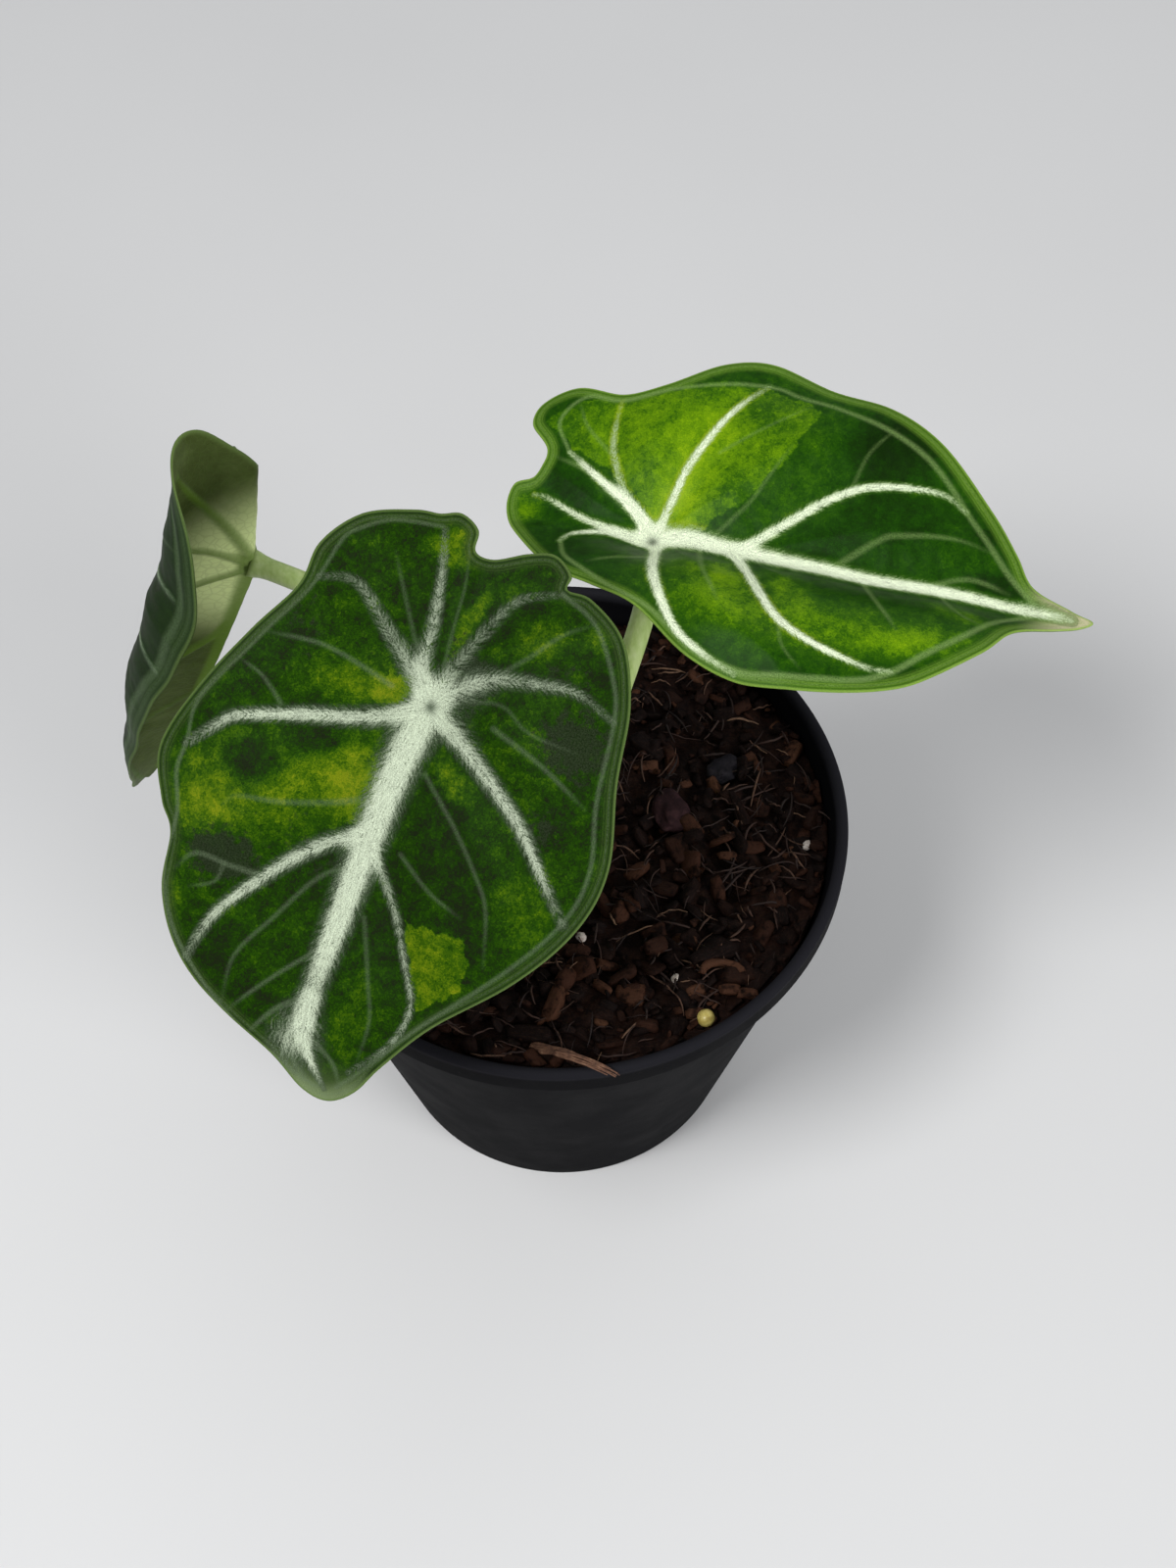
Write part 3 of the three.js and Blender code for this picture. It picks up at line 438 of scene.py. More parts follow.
def nearest_on(points, path):
    """Each point's distance to a polyline, how far along it that is, and the signed distance."""
    lengths = np.linalg.norm(np.diff(path, axis=0), axis=1)
    reach = np.concatenate([[0], np.cumsum(lengths)])
    best = np.full(len(points), np.inf)
    along = np.zeros(len(points))
    signed = np.zeros(len(points))
    for i, length in enumerate(lengths):
        way = (path[i + 1] - path[i]) / max(length, 1e-9)
        offset = points - path[i]
        step = np.clip(offset @ way, 0, length)
        beside = offset - step[:, None] * way
        gap = np.hypot(beside[:, 0], beside[:, 1])
        nearer = gap < best
        best[nearer] = gap[nearer]
        along[nearer] = reach[i] + step[nearer]
        side = np.sign(way[0] * beside[:, 1] - way[1] * beside[:, 0])
        signed[nearer] = (side * gap)[nearer]
    return best, along, signed


def soft_step(value, low, high):
    x = np.clip((value - low) / (high - low), 0, 1)
    return x * x * (3 - 2 * x)


def inside(points, polygon):
    """Which points lie inside a closed polygon."""
    x, y = points[:, 0], points[:, 1]
    found = np.zeros(len(points), bool)
    for (ax, ay), (bx, by) in zip(polygon, np.roll(polygon, -1, 0)):
        if ay != by:
            crosses = (ay > y) != (by > y)
            found ^= crosses & (x < (bx - ax) * (y - ay) / (by - ay) + ax)
    return found


def polar(radius, angle):
    return radius * math.cos(angle), radius * math.sin(angle)


def fan(tip, first, count, flip=False):
    """Triangles from a tip to a ring of vertices."""
    faces = [(tip, first + j, first + (j + 1) % count) for j in range(count)]
    return [face[::-1] for face in faces] if flip else faces


def between_rings(first, second, count, flip=False):
    """Quads that join two rings of vertices, given where each ring starts."""
    quads = []
    for j in range(count):
        k = (j + 1) % count
        a, b, c, d = first + j, first + k, second + k, second + j
        quads.append((a, d, c, b) if flip else (a, b, c, d))
    return quads


def make_object(name, vertices, faces, smooth=True):
    """A mesh object from millimetre vertices; faces index them."""
    mesh = bpy.data.meshes.new(name)
    places = (np.asarray(vertices, float) * MM).tolist()
    mesh.from_pydata(places, [], [list(map(int, face)) for face in faces])
    mesh.validate()
    if smooth:
        mesh.shade_smooth()
    else:
        mesh.shade_flat()
    piece = bpy.data.objects.new(name, mesh)
    bpy.context.scene.collection.objects.link(piece)
    return piece


def set_field(piece, name, values):
    """Stores one number for each vertex, or one vector of three."""
    values = np.asarray(values, np.float32)
    kind, key = ("FLOAT", "value") if values.ndim == 1 else ("FLOAT_VECTOR", "vector")
    piece.data.attributes.new(name, kind, "POINT").data.foreach_set(key, values.ravel())


def dress(piece, slot, *materials, replaces=()):
    for material in materials:
        piece.data.materials.append(material)
    if replaces:
        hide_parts(*replaces)
    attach(piece, "root")


# Shader nodes
class Shader:
    """Builds one procedural material; inputs may be plain values or sockets."""

    def __init__(self, name):
        self.material = bpy.data.materials.new(name)
        self.material.use_nodes = True
        self.tree = self.material.node_tree
        self.tree.nodes.clear()

    def add(self, kind, inputs=None, **settings):
        node = self.tree.nodes.new(f"ShaderNode{kind}")
        for key, value in settings.items():
            setattr(node, key, value)
        for key, value in (inputs or {}).items():
            if isinstance(value, bpy.types.NodeSocket):
                self.tree.links.new(value, node.inputs[key])
            else:
                node.inputs[key].default_value = value
        return node

    def field(self, name):
        return self.add("Attribute", attribute_name=name).outputs["Fac"]

    def vector_field(self, name):
        return self.add("Attribute", attribute_name=name).outputs["Vector"]

    def place(self):
        return self.add("TexCoord").outputs["Object"]

    def vector(self, x, y, z):
        return self.add("CombineXYZ", {0: x, 1: y, 2: z}).outputs[0]

    def parts(self, vector):
        return self.add("SeparateXYZ", {0: vector}).outputs[:]

    def stretched(self, vector, scale):
        return self.add("VectorMath", {0: vector, 1: scale}, operation="MULTIPLY").outputs[0]

    def math(self, operation, a, b=0.0, c=0.0):
        return self.add("Math", {0: a, 1: b, 2: c}, operation=operation).outputs[0]

    def product(self, a, b):
        return self.math("MULTIPLY", a, b)

    def sway(self, wave, share, base=0.0):
        """base, moved by a share of the wave's distance from a half."""
        return self.math("MULTIPLY_ADD", self.math("SUBTRACT", wave, 0.5), share, base)

    def noise(self, vector, scale, detail=2.0, roughness=0.5, distortion=0.0):
        """Noise from 0 to 1; three scales stretch it along the axes."""
        if isinstance(scale, tuple):
            vector, scale = self.stretched(vector, scale), 1.0
        inputs = {
            "Vector": vector, "Scale": scale, "Detail": detail,
            "Roughness": roughness, "Distortion": distortion,
        }
        return self.add("TexNoise", inputs).outputs["Fac"]

    def cells(self, vector, scale):
        """One random number for each cell."""
        colour = self.add("TexVoronoi", {"Vector": vector, "Scale": scale}).outputs["Color"]
        return self.add("SeparateColor", {0: colour}).outputs[0]

    def cell_places(self, vector, scale):
        """The middle of the cell that each point lies in."""
        return self.add("TexVoronoi", {"Vector": vector, "Scale": scale}).outputs["Position"]

    def cell_edges(self, vector, scale):
        inputs = {"Vector": vector, "Scale": scale}
        return self.add("TexVoronoi", inputs, feature="DISTANCE_TO_EDGE").outputs["Distance"]

    def mix_vectors(self, share, a, b):
        return self.add("Mix", {0: share, 4: a, 5: b}, data_type="VECTOR").outputs[1]

    def ramp(self, value, stops):
        node = self.add("ValToRGB", {0: value})
        elements = node.color_ramp.elements
        while len(elements) > 1:
            elements.remove(elements[0])
        elements[0].position = stops[0][0]
        elements[0].color = as_colour(stops[0][1])
        for position, colour in stops[1:]:
            elements.new(position).color = as_colour(colour)
        return node.outputs["Color"]

    def level(self, value, low, high, start=0.0, end=1.0):
        """A number that runs smoothly from start to end as value runs from low to high."""
        inputs = {"Value": value, "From Min": low, "From Max": high, "To Min": start, "To Max": end}
        return self.add("MapRange", inputs, interpolation_type="SMOOTHSTEP").outputs["Result"]

    def mix(self, share, a, b, blend="MIX"):
        inputs = {0: share, 6: as_colour(a), 7: as_colour(b)}
        return self.add("Mix", inputs, data_type="RGBA", blend_type=blend).outputs[2]

    def over(self, colour, top, value, low, high, start=0.0, end=1.0):
        """The colour under a share of the top one, which runs with value as level does."""
        return self.mix(self.level(value, low, high, start, end), colour, top)

    def shaded(self, colour, value, stops):
        """The colour times a ramp of greys."""
        return self.mix(1.0, colour, self.ramp(value, stops), "MULTIPLY")

    def bump(self, height, strength, distance, normal=None):
        inputs = {"Height": height, "Strength": strength, "Distance": distance * MM}
        if normal is not None:
            inputs["Normal"] = normal
        return self.add("Bump", inputs).outputs["Normal"]

    def finish(self, colour, roughness, **more):
        inputs = {"Base Color": colour, "Roughness": roughness}
        inputs.update({key.replace("_", " "): value for key, value in more.items()})
        surface = self.add("BsdfPrincipled", inputs)
        self.add("OutputMaterial", {"Surface": surface.outputs["BSDF"]})
        return self.material


def as_colour(value):
    """Four channels from one or three; a socket stays as it is."""
    if isinstance(value, bpy.types.NodeSocket):
        return value
    if isinstance(value, (int, float)):
        return (value, value, value, 1)
    return (*value[:3], 1)


# Leaf surface, by the part's own formula
def leaf_axes(leaf):
    azimuth, fall, roll = (math.radians(leaf[key]) for key in ("azimuth", "fall", "roll"))
    along = np.array([
        math.cos(azimuth) * math.cos(fall), math.sin(azimuth) * math.cos(fall), -math.sin(fall),
    ])
    level = np.array([-math.sin(azimuth), math.cos(azimuth), 0])
    upright = np.cross(along, level)
    across = math.cos(roll) * level + math.sin(roll) * upright
    return along, across, np.cross(along, across)


def quilt_share(leaf, points):
    """0 on the main veins, rising to 1 between them."""
    paths = [smooth_path(vein[3], per_span=4) for vein in leaf["main_veins"].values()]
    nearest = np.min([nearest_on(points, path)[0] for path in paths], axis=0)
    return 1 - np.exp(-((nearest / BLADE["quilt_reach"]) ** 2))


def leaf_height(leaf, points):
    u, v = points[:, 0], points[:, 1]
    radius = np.hypot(u, v)
    high_side = v > 0
    wing = np.where(high_side, leaf["wing"][1], leaf["wing"][0])
    crest = np.where(high_side, leaf["crest"][1], leaf["crest"][0])
    fade = np.maximum(0, 1 - ((u - leaf["wing_middle"]) / BLADE["wing_span"]) ** 2)
    narrow = 1 - leaf["narrowing"] * (np.maximum(u, 0) / leaf["length"]) ** 2
    share = np.abs(v) / (leaf["half"] * narrow)
    x = share * share / (share + BLADE["arch_ease"]) / crest
    wave = np.sin(BLADE["wave_count"] * np.arctan2(v, u) + math.radians(leaf["wave_phase"]))
    return (
        wing * fade * narrow * x * (2 - x)
        - leaf["tip_drop"] * (np.maximum(u, 0) / leaf["length"]) ** 2
        - leaf["lobe_drop"] * (np.maximum(-u, 0) / leaf["lobe"]) ** 2
        - leaf["funnel"] * np.exp(-((radius / BLADE["funnel_reach"]) ** 2))
        + leaf["wave"] * (radius / leaf["half"]) ** 2 * wave
        + BLADE["quilt"] * quilt_share(leaf, points)
    )


def leaf_places(leaf, points, heights):
    along, across, up = leaf_axes(leaf)
    return (
        np.array(leaf["junction"]) + np.outer(points[:, 0], along)
        + np.outer(points[:, 1], across) + np.outer(heights, up)
    )


def margin_distance(points, margin):
    ring = even_steps(margin, 1.0, closed=True)
    return nearest_on(points, np.vstack([ring, ring[:1]]))[0]


def sheet_plan(margin, spacing):
    """Points that fill the outline, their triangles, and which of them the margin's points are."""
    way = np.roll(margin, -1, 0) - np.roll(margin, 1, 0)
    inward = np.stack([-way[:, 1], way[:, 0]], 1) / np.linalg.norm(way, axis=1)[:, None]
    after = np.roll(margin, -1, 0)
    if np.sum(margin[:, 0] * after[:, 1] - after[:, 0] * margin[:, 1]) < 0:
        inward = -inward
    rows = [margin + depth * inward for depth in BLADE["edge_rows"]]
    low, high = margin.min(0), margin.max(0)
    along = np.arange(low[0], high[0], spacing)
    lattice = np.vstack([
        np.stack([along + 0.5 * spacing * (i % 2), np.full(len(along), v)], 1)
        for i, v in enumerate(np.arange(low[1], high[1], spacing * math.sqrt(0.75)))
    ])
    lattice = lattice[inside(lattice, margin)]
    lattice = lattice[margin_distance(lattice, margin) > BLADE["edge_rows"][-1] + 0.5 * spacing]
    points = np.vstack([margin, *rows, lattice])
    count = len(margin)
    edges = [(i, (i + 1) % count) for i in range(count)]
    found = delaunay_2d_cdt([Vector(point) for point in points], edges, [], 1, 1e-4)
    rim = np.zeros(count, int)
    for i, originals in enumerate(found[3]):
        for original in originals:
            if original < count:
                rim[original] = i
    points = np.array([tuple(point) for point in found[0]])
    triangles = np.array(found[2])
    a, b, c = (points[triangles[:, k]] for k in range(3))
    turn = (b - a)[:, 0] * (c - a)[:, 1] - (b - a)[:, 1] * (c - a)[:, 0]
    return points, np.where(turn[:, None] > 0, triangles, triangles[:, ::-1]), rim


def surface_normals(places, triangles):
    a, b, c = (places[triangles[:, k]] for k in range(3))
    facing = np.cross(b - a, c - a)
    total = np.zeros_like(places)
    for k in range(3):
        np.add.at(total, triangles[:, k], facing)
    return total / np.linalg.norm(total, axis=1)[:, None]


# Leaf patterns, as numbers at each point of the blade
def vein_field(points, veins, fade=0.0):
    """The veins' strength in their middle, falling to 0 at about twice their half width."""
    rest = np.ones(len(points))
    for start, end, strength, path in veins.values():
        distance, along, _ = nearest_on(points, smooth_path(path, per_span=5))
        share = along / along.max()
        half = start + (end - start) * share
        shown = strength * (1 - fade * soft_step(share, 0.7, 1))
        rest *= 1 - shown * (1 - soft_step(distance / half, 0.25, 2.0))
    return 1 - rest


def vein_axes(points, veins):
    """How far along its nearest main vein each point lies, how far beside it, and which it is."""
    best = np.full(len(points), np.inf)
    axes = np.zeros((len(points), 3))
    for i, (_, _, _, path) in enumerate(veins.values()):
        distance, along, signed = nearest_on(points, smooth_path(path, per_span=5))
        nearer = distance < best
        best[nearer] = distance[nearer]
        axes[nearer] = np.stack([along, signed, np.full(len(points), 3.0 * i)], 1)[nearer]
    return axes


def ridge_field(points, veins, height):
    """Height of round ridges along the veins."""
    best = np.zeros(len(points))
    for start, end, *_, path in veins.values():
        distance, along, _ = nearest_on(points, smooth_path(path, per_span=5))
        half = start + (end - start) * along / along.max()
        best = np.maximum(best, height * half * np.maximum(0, 1 - (distance / half) ** 2) ** 1.5)
    return best


def patch_field(points, patches):
    total = np.zeros(len(points))
    for u, v, length, width, turn, amount in patches:
        angle = math.radians(turn)
        du, dv = points[:, 0] - u, points[:, 1] - v
        along = (du * math.cos(angle) + dv * math.sin(angle)) / length
        across = (dv * math.cos(angle) - du * math.sin(angle)) / width
        total += amount * np.exp(-((along ** 2 + across ** 2) ** 1.6))
    return total


def crisp_patch(points, polygon):
    """1 inside a patch with a sharp ragged outline."""
    ragged = np.array([noise.noise_vector((0.5 * u, 0.5 * v, 1.0))[:2] for u, v in points])
    return inside(points + 0.8 * ragged, np.array(polygon)).astype(float)


def crinkle(points):
    """Slight random unevenness of the blade."""
    return np.array([
        0.3 * noise.noise((0.11 * u, 0.11 * v, 3.0)) + 0.09 * noise.noise((0.45 * u, 0.45 * v, 9.0))
        for u, v in points
    ])


def leaf_fields(leaf, points, from_margin):
    radius = np.hypot(points[:, 0], points[:, 1])
    angle = np.arctan2(points[:, 1], points[:, 0])
    silver = vein_field(points, leaf["main_veins"], 0.35)
    fine = vein_field(points, leaf["fine_veins"], 0.8)
    margins = vein_field(points, leaf["margin_veins"])
    cloud = np.clip(patch_field(points, leaf["cloud"]), 0, 1)
    return {
        "plane": np.column_stack([points, np.zeros(len(points))]),
        "fan": np.stack([0.35 * radius, 9 * np.cos(angle), 9 * np.sin(angle)], 1),
        "vein": vein_axes(points, leaf["main_veins"]),
        "silver": 1 - (1 - silver) * (1 - cloud),
        "thread": 1 - (1 - fine) * (1 - margins),
        "margin": from_margin,
        "lime": leaf["lime_base"] + patch_field(points, leaf["lime"]),
        "bright": crisp_patch(points, leaf["bright_patch"]),
        "grey": np.clip(patch_field(points, leaf["grey"]), 0, 1),
        "tip": soft_step(points[:, 0] / leaf["length"], *leaf["tip_from"]),
        # where the painted shade of the pit at the junction lies
        "pit": np.exp(-((radius / BLADE["pit"]) ** 2)),
    }


def leaf_sheet(leaf, margin, spacing):
    points, triangles, rim = sheet_plan(margin, spacing)
    from_margin = margin_distance(points, margin)
    from_margin[rim] = 0
    inner = soft_step(from_margin, 0, 2.5)
    heights = leaf_height(leaf, points) + inner * crinkle(points)
    places = leaf_places(leaf, points, heights)
    share = np.clip(from_margin / BLADE["half_thickness"], 0, 1)
    return {
        "points": points, "triangles": triangles, "rim": rim, "places": places,
        "normals": surface_normals(places, triangles), "inner": inner,
        "half": BLADE["half_thickness"] * np.sqrt(share * (2 - share)),
        "fields": leaf_fields(leaf, points, from_margin),
    }


def leaf_piece(name, leaf):
    outline = smooth_path(leaf["outline"], closed=True)
    margin = even_steps(outline, BLADE["margin_step"], closed=True)
    upper = leaf_sheet(leaf, margin, BLADE["spacing"])
    under = leaf_sheet(leaf, margin, BLADE["under_share"] * BLADE["spacing"])
    relief = BLADE["upper_relief"] * (upper["fields"]["silver"] - upper["fields"]["thread"])
    top = upper["places"] + (upper["half"] + upper["inner"] * relief)[:, None] * upper["normals"]
    thin = {**leaf["fine_veins"], **leaf["margin_veins"]}
    ribs = np.maximum(
        ridge_field(under["points"], leaf["under_ribs"], BLADE["rib"]),
        ridge_field(under["points"], thin, BLADE["thin_rib"]),
    )
    low = under["places"] - (under["half"] + under["inner"] * ribs)[:, None] * under["normals"]

    kept = np.ones(len(low), bool)
    kept[under["rim"]] = False
    place_of = np.zeros(len(low), int)
    place_of[kept] = len(top) + np.arange(np.count_nonzero(kept))
    place_of[under["rim"]] = upper["rim"]
    faces = np.vstack([upper["triangles"], place_of[under["triangles"][:, ::-1]]])
    piece = make_object(f"leaf_{name}_blade", np.vstack([top, low[kept]]), faces)
    sides = [np.zeros(len(upper["triangles"]), np.int32), np.ones(len(under["triangles"]), np.int32)]
    piece.data.polygons.foreach_set("material_index", np.concatenate(sides))
    for field, values in upper["fields"].items():
        set_field(piece, field, np.concatenate([values, under["fields"][field][kept]]))
    dress(
        piece, f"variegated_leaf_{name}", upper_material(name, LOOKS[name]), under_material(name),
        replaces=[f"leaf_{name}"],
    )


# Leaf materials: green stops by mosaic value, then the colours of what lies over them
LOOKS = {
    "front": {
        "greens": [
            (0.00, (0.0072, 0.0120, 0.0036)), (0.10, (0.0068, 0.0208, 0.0016)),
            (0.24, (0.0075, 0.0292, 0.0009)), (0.29, (0.0099, 0.0372, 0.0007)),
            (0.42, (0.0136, 0.0484, 0.0007)), (0.47, (0.0252, 0.0672, 0.0009)),
            (0.60, (0.0312, 0.0780, 0.0009)), (0.65, (0.0546, 0.1054, 0.0012)),
            (0.80, (0.0782, 0.1326, 0.0020)), (0.90, (0.1260, 0.1650, 0.0036)),
        ],
        "dim": (0.105, 0.135, 0.085), "bright": (0.450, 0.510, 0.380), "feather": 1.25, "patch": 0.42,
        "halo": (0.034, 0.048, 0.027), "glow": (0.070, 0.130, 0.008), "thread": (0.100, 0.135, 0.078),
        "band": ((0.008, 0.018, 0.005), (0.030, 0.058, 0.010)), "edge": (0.095, 0.150, 0.040),
        "tip": (0.040, 0.064, 0.020), "tip_end": (0.130, 0.175, 0.080),
        "broad": 0.30, "medium": 1.45, "fine": 0.24, "roughness": 0.52, "specular": 0.03,
    },
    # The right leaf's colours, its silver veins included, are lighter than the other leaves' partly by its
    # own limier mottling and partly by painted light: they stand in for light falling on it from above and
    # shining through it from behind
    "right": {
        "greens": [
            (0.00, (0.0036, 0.0156, 0.0008)), (0.16, (0.0054, 0.0264, 0.0008)),
            (0.28, (0.0072, 0.0400, 0.0008)), (0.38, (0.0120, 0.0560, 0.0008)),
            (0.52, (0.0260, 0.0900, 0.0008)), (0.62, (0.0620, 0.1550, 0.0010)),
            (0.76, (0.1150, 0.2350, 0.0014)), (0.92, (0.2000, 0.3300, 0.0030)),
        ],
        "dim": (0.240, 0.340, 0.140), "bright": (0.720, 0.800, 0.580), "feather": 0.85, "patch": 0.2,
        "halo": (0.030, 0.085, 0.006), "glow": (0.230, 0.320, 0.008), "thread": (0.150, 0.240, 0.070),
        "band": ((0.040, 0.105, 0.006), (0.110, 0.210, 0.022)), "edge": (0.190, 0.310, 0.050),
        "tip": (0.300, 0.420, 0.120), "tip_end": (0.420, 0.400, 0.240),
        "broad": 0.14, "medium": 0.80, "fine": 0.10, "roughness": 0.42, "specular": 0.06,
    },
    "left": {
        "greens": [
            (0.00, (0.0055, 0.0110, 0.0039)), (0.25, (0.0077, 0.0198, 0.0039)),
            (0.50, (0.0132, 0.0330, 0.0044)), (0.80, (0.0330, 0.0688, 0.0066)),
        ],
        "dim": (0.110, 0.150, 0.090), "bright": (0.380, 0.450, 0.330), "feather": 0.8, "patch": 0.1,
        "halo": (0.040, 0.070, 0.030), "glow": (0.060, 0.110, 0.020), "thread": (0.070, 0.110, 0.050),
        "band": ((0.014, 0.032, 0.008), (0.030, 0.055, 0.016)), "edge": (0.080, 0.125, 0.035),
        "tip": (0.040, 0.070, 0.020), "tip_end": (0.150, 0.200, 0.080),
        "broad": 0.16, "medium": 0.60, "fine": 0.10, "roughness": 0.50, "specular": 0.05,
    },
}


def mosaic_value(shader, look):
    """How light the variegation is: sectors, ragged islands and single cells of the tissue."""
    plane = shader.vector_field("plane")
    clumps = shader.mix_vectors(0.82, plane, shader.cell_places(plane, 1.7))
    sectors = shader.noise(shader.vector_field("fan"), 0.42, 2, 0.55, 0.6)
    islands = shader.noise(clumps, 0.36, 7, 0.78, 0.3)
    value = shader.math("MULTIPLY_ADD", shader.field("bright"), look["patch"], shader.field("lime"))
    value = shader.sway(sectors, 2 * look["broad"], value)
    value = shader.sway(islands, look["medium"], value)
    return shader.sway(shader.cells(plane, 3.6), look["fine"], value)


def silver_shares(shader, look):
    """Where the veins' silver shows, the dim halo round it, and the streaks and fuzz in it."""
    along, across, which = shader.parts(shader.vector_field("vein"))
    spread = shader.math("ABSOLUTE", across)
    slant = shader.math("MULTIPLY_ADD", spread, -1.2, along)
    feather = shader.noise(shader.vector(slant, shader.product(spread, 0.28), which), 2.1, 3, 0.7)
    lengthwise = shader.vector(shader.product(along, 0.3), shader.product(across, 2.4), which)
    streak = shader.noise(lengthwise, 1.6, 3, 0.7)
    fuzz = shader.noise(shader.vector_field("plane"), 3.0, 3, 0.75)
    silver = shader.field("silver")
    ragged = shader.sway(fuzz, 0.9, shader.sway(streak, 0.7, shader.sway(feather, 1.5)))
    window = shader.level(silver, 0.0, 0.45, 0.0, look["feather"])
    uneven = shader.math("MULTIPLY_ADD", ragged, window, silver)
    return shader.level(uneven, 0.28, 0.92), shader.level(uneven, 0.03, 0.4), streak, fuzz


def tissue_colour(shader, look, value, streak, fuzz):
    """The mottled greens, grey-green islands, the plain band along the margin, and the tip."""
    margin = shader.field("margin")
    colour = shader.ramp(value, look["greens"])
    islands = shader.noise(shader.vector_field("plane"), 0.5, 5, 0.7)
    grey = shader.over((0.0065, 0.0120, 0.0035), (0.0190, 0.0270, 0.0130), fuzz, 0.35, 0.65)
    greyness = shader.sway(islands, 2.6, shader.field("grey"))
    colour = shader.over(colour, grey, greyness, 0.34, 0.70, 0.0, 0.9)
    lines = shader.noise(shader.vector(shader.product(margin, 3.0), streak, 0.0), 1.2, 2, 0.6)
    band = shader.product(shader.level(margin, 1.4, 2.8, 0.85, 0.0), shader.level(fuzz, 0.3, 0.6, 0.7, 1.0))
    colour = shader.mix(band, colour, shader.over(*look["band"], lines, 0.35, 0.65))
    return shader.mix(
        shader.field("tip"), colour, shader.over(look["tip_end"], look["tip"], margin, 0.5, 4.0),
    )


def margin_line(shader, margin, fuzz):
    """Share of a broken pale line just inside the margin."""
    away = shader.math("ABSOLUTE", shader.math("SUBTRACT", margin, BLADE["margin_line"]))
    line = shader.math("MAXIMUM", shader.math("SUBTRACT", 1.0, shader.product(away, 3.5)), 0.0)
    return shader.product(line, shader.level(fuzz, 0.4, 0.6, 0.05, 0.35))


def veined_colour(shader, look, colour, value, shares):
    """The colour with the veins' halo, the thin veins, the silver and the margin's lines."""
    shown, halo, streak, fuzz = shares
    margin = shader.field("margin")
    halo_colour = shader.over(look["halo"], look["glow"], value, 0.4, 0.7)
    colour = shader.mix(shader.product(halo, 0.6), colour, halo_colour)
    thread = shader.product(shader.field("thread"), shader.level(fuzz, 0.3, 0.62, 0.3, 1.0))
    colour = shader.mix(thread, colour, look["thread"])
    frost = shader.over(look["dim"], look["bright"], shader.field("silver"), 0.45, 1.0)
    shade = shader.product(shader.math("ADD", streak, fuzz), 0.5)
    colour = shader.mix(shown, colour, shader.shaded(frost, shade, [(0.36, 0.62), (0.62, 1.2)]))
    colour = shader.mix(margin_line(shader, margin, fuzz), colour, look["thread"])
    return shader.over(colour, look["edge"], margin, 0.1, 0.6, 0.8, 0.0)


def upper_material(name, look):
    shader = Shader(f"leaf_upper_{name}")
    value = mosaic_value(shader, look)
    shares = silver_shares(shader, look)
    shown, _, streak, fuzz = shares
    colour = tissue_colour(shader, look, value, streak, fuzz)
    colour = veined_colour(shader, look, colour, value, shares)
    # Painted shade: the small pit where the stalk meets the blade is darkened to a deep green
    colour = shader.mix(shader.product(shader.field("pit"), 0.8), colour, (0.012, 0.030, 0.008))
    speckle = shader.noise(shader.vector_field("plane"), 6.0, 2, 0.6)
    colour = shader.shaded(colour, speckle, [(0.32, 0.72), (0.68, 1.3)])
    relief = shader.math("MULTIPLY_ADD", value, 0.5, shader.product(speckle, 0.6))
    normal = shader.bump(relief, 0.35, 0.12)
    normal = shader.bump(shader.product(streak, shader.field("silver")), 0.5, 0.2, normal)
    roughness = shader.level(shown, 0.0, 1.0, look["roughness"], look["roughness"] + 0.15)
    return shader.finish(
        colour, roughness, Normal=normal, Specular_IOR_Level=look["specular"],
        Specular_Tint=(0.85, 1.0, 0.75, 1.0),
    )


def under_material(name):
    shader = Shader(f"leaf_under_{name}")
    plane = shader.vector_field("plane")
    islands = shader.noise(plane, 0.3, 5, 0.65, 0.4)
    net = shader.level(shader.cell_edges(plane, 0.75), 0.02, 0.12, 1.0, 0.0)
    from_stalk = shader.parts(shader.vector_field("fan"))[0]
    colour = shader.ramp(islands, [
        (0.3, (0.045, 0.062, 0.013)), (0.5, (0.055, 0.078, 0.018)), (0.72, (0.075, 0.104, 0.027)),
    ])
    # Painted light: round the stalk the underside is painted an almost white pale green that fades outwards,
    # standing in for light shining through the thin leaf
    colour = shader.over(colour, (0.760, 0.880, 0.400), from_stalk, 2.0, 7.5, 0.97, 0.0)
    colour = shader.mix(shader.product(net, 0.14), colour, (0.080, 0.140, 0.025))
    colour = shader.mix(shader.product(shader.field("thread"), 0.7), colour, (0.075, 0.150, 0.018))
    colour = shader.over(colour, (0.110, 0.200, 0.022), shader.field("silver"), 0.25, 0.9, 0.0, 0.85)
    colour = shader.over(colour, (0.110, 0.170, 0.045), shader.field("margin"), 0.1, 1.2, 0.7, 0.0)
    normal = shader.bump(shader.math("MULTIPLY_ADD", net, -0.4, islands), 0.4, 0.15)
    return shader.finish(colour, 0.45, Normal=normal, Specular_IOR_Level=0.08)


# Stalks
def stalk_line(leaf, base_angle, rise, reach):
    centre = np.zeros((1, 2))
    top = leaf_places(leaf, centre, leaf_height(leaf, centre))[0]
    x, y = polar(STALK["ring"], base_angle)
    base = np.array([CROWN["x"] + x, CROWN["y"] + y, STALK["start"]])
    above = base + np.array([0, 0, rise])
    below = top - reach * leaf_axes(leaf)[2]
    t = np.linspace(0, 1, STALK["steps"])[:, None]
    return (1 - t) ** 3 * base + 3 * (1 - t) ** 2 * t * above + 3 * (1 - t) * t * t * below + t ** 3 * top


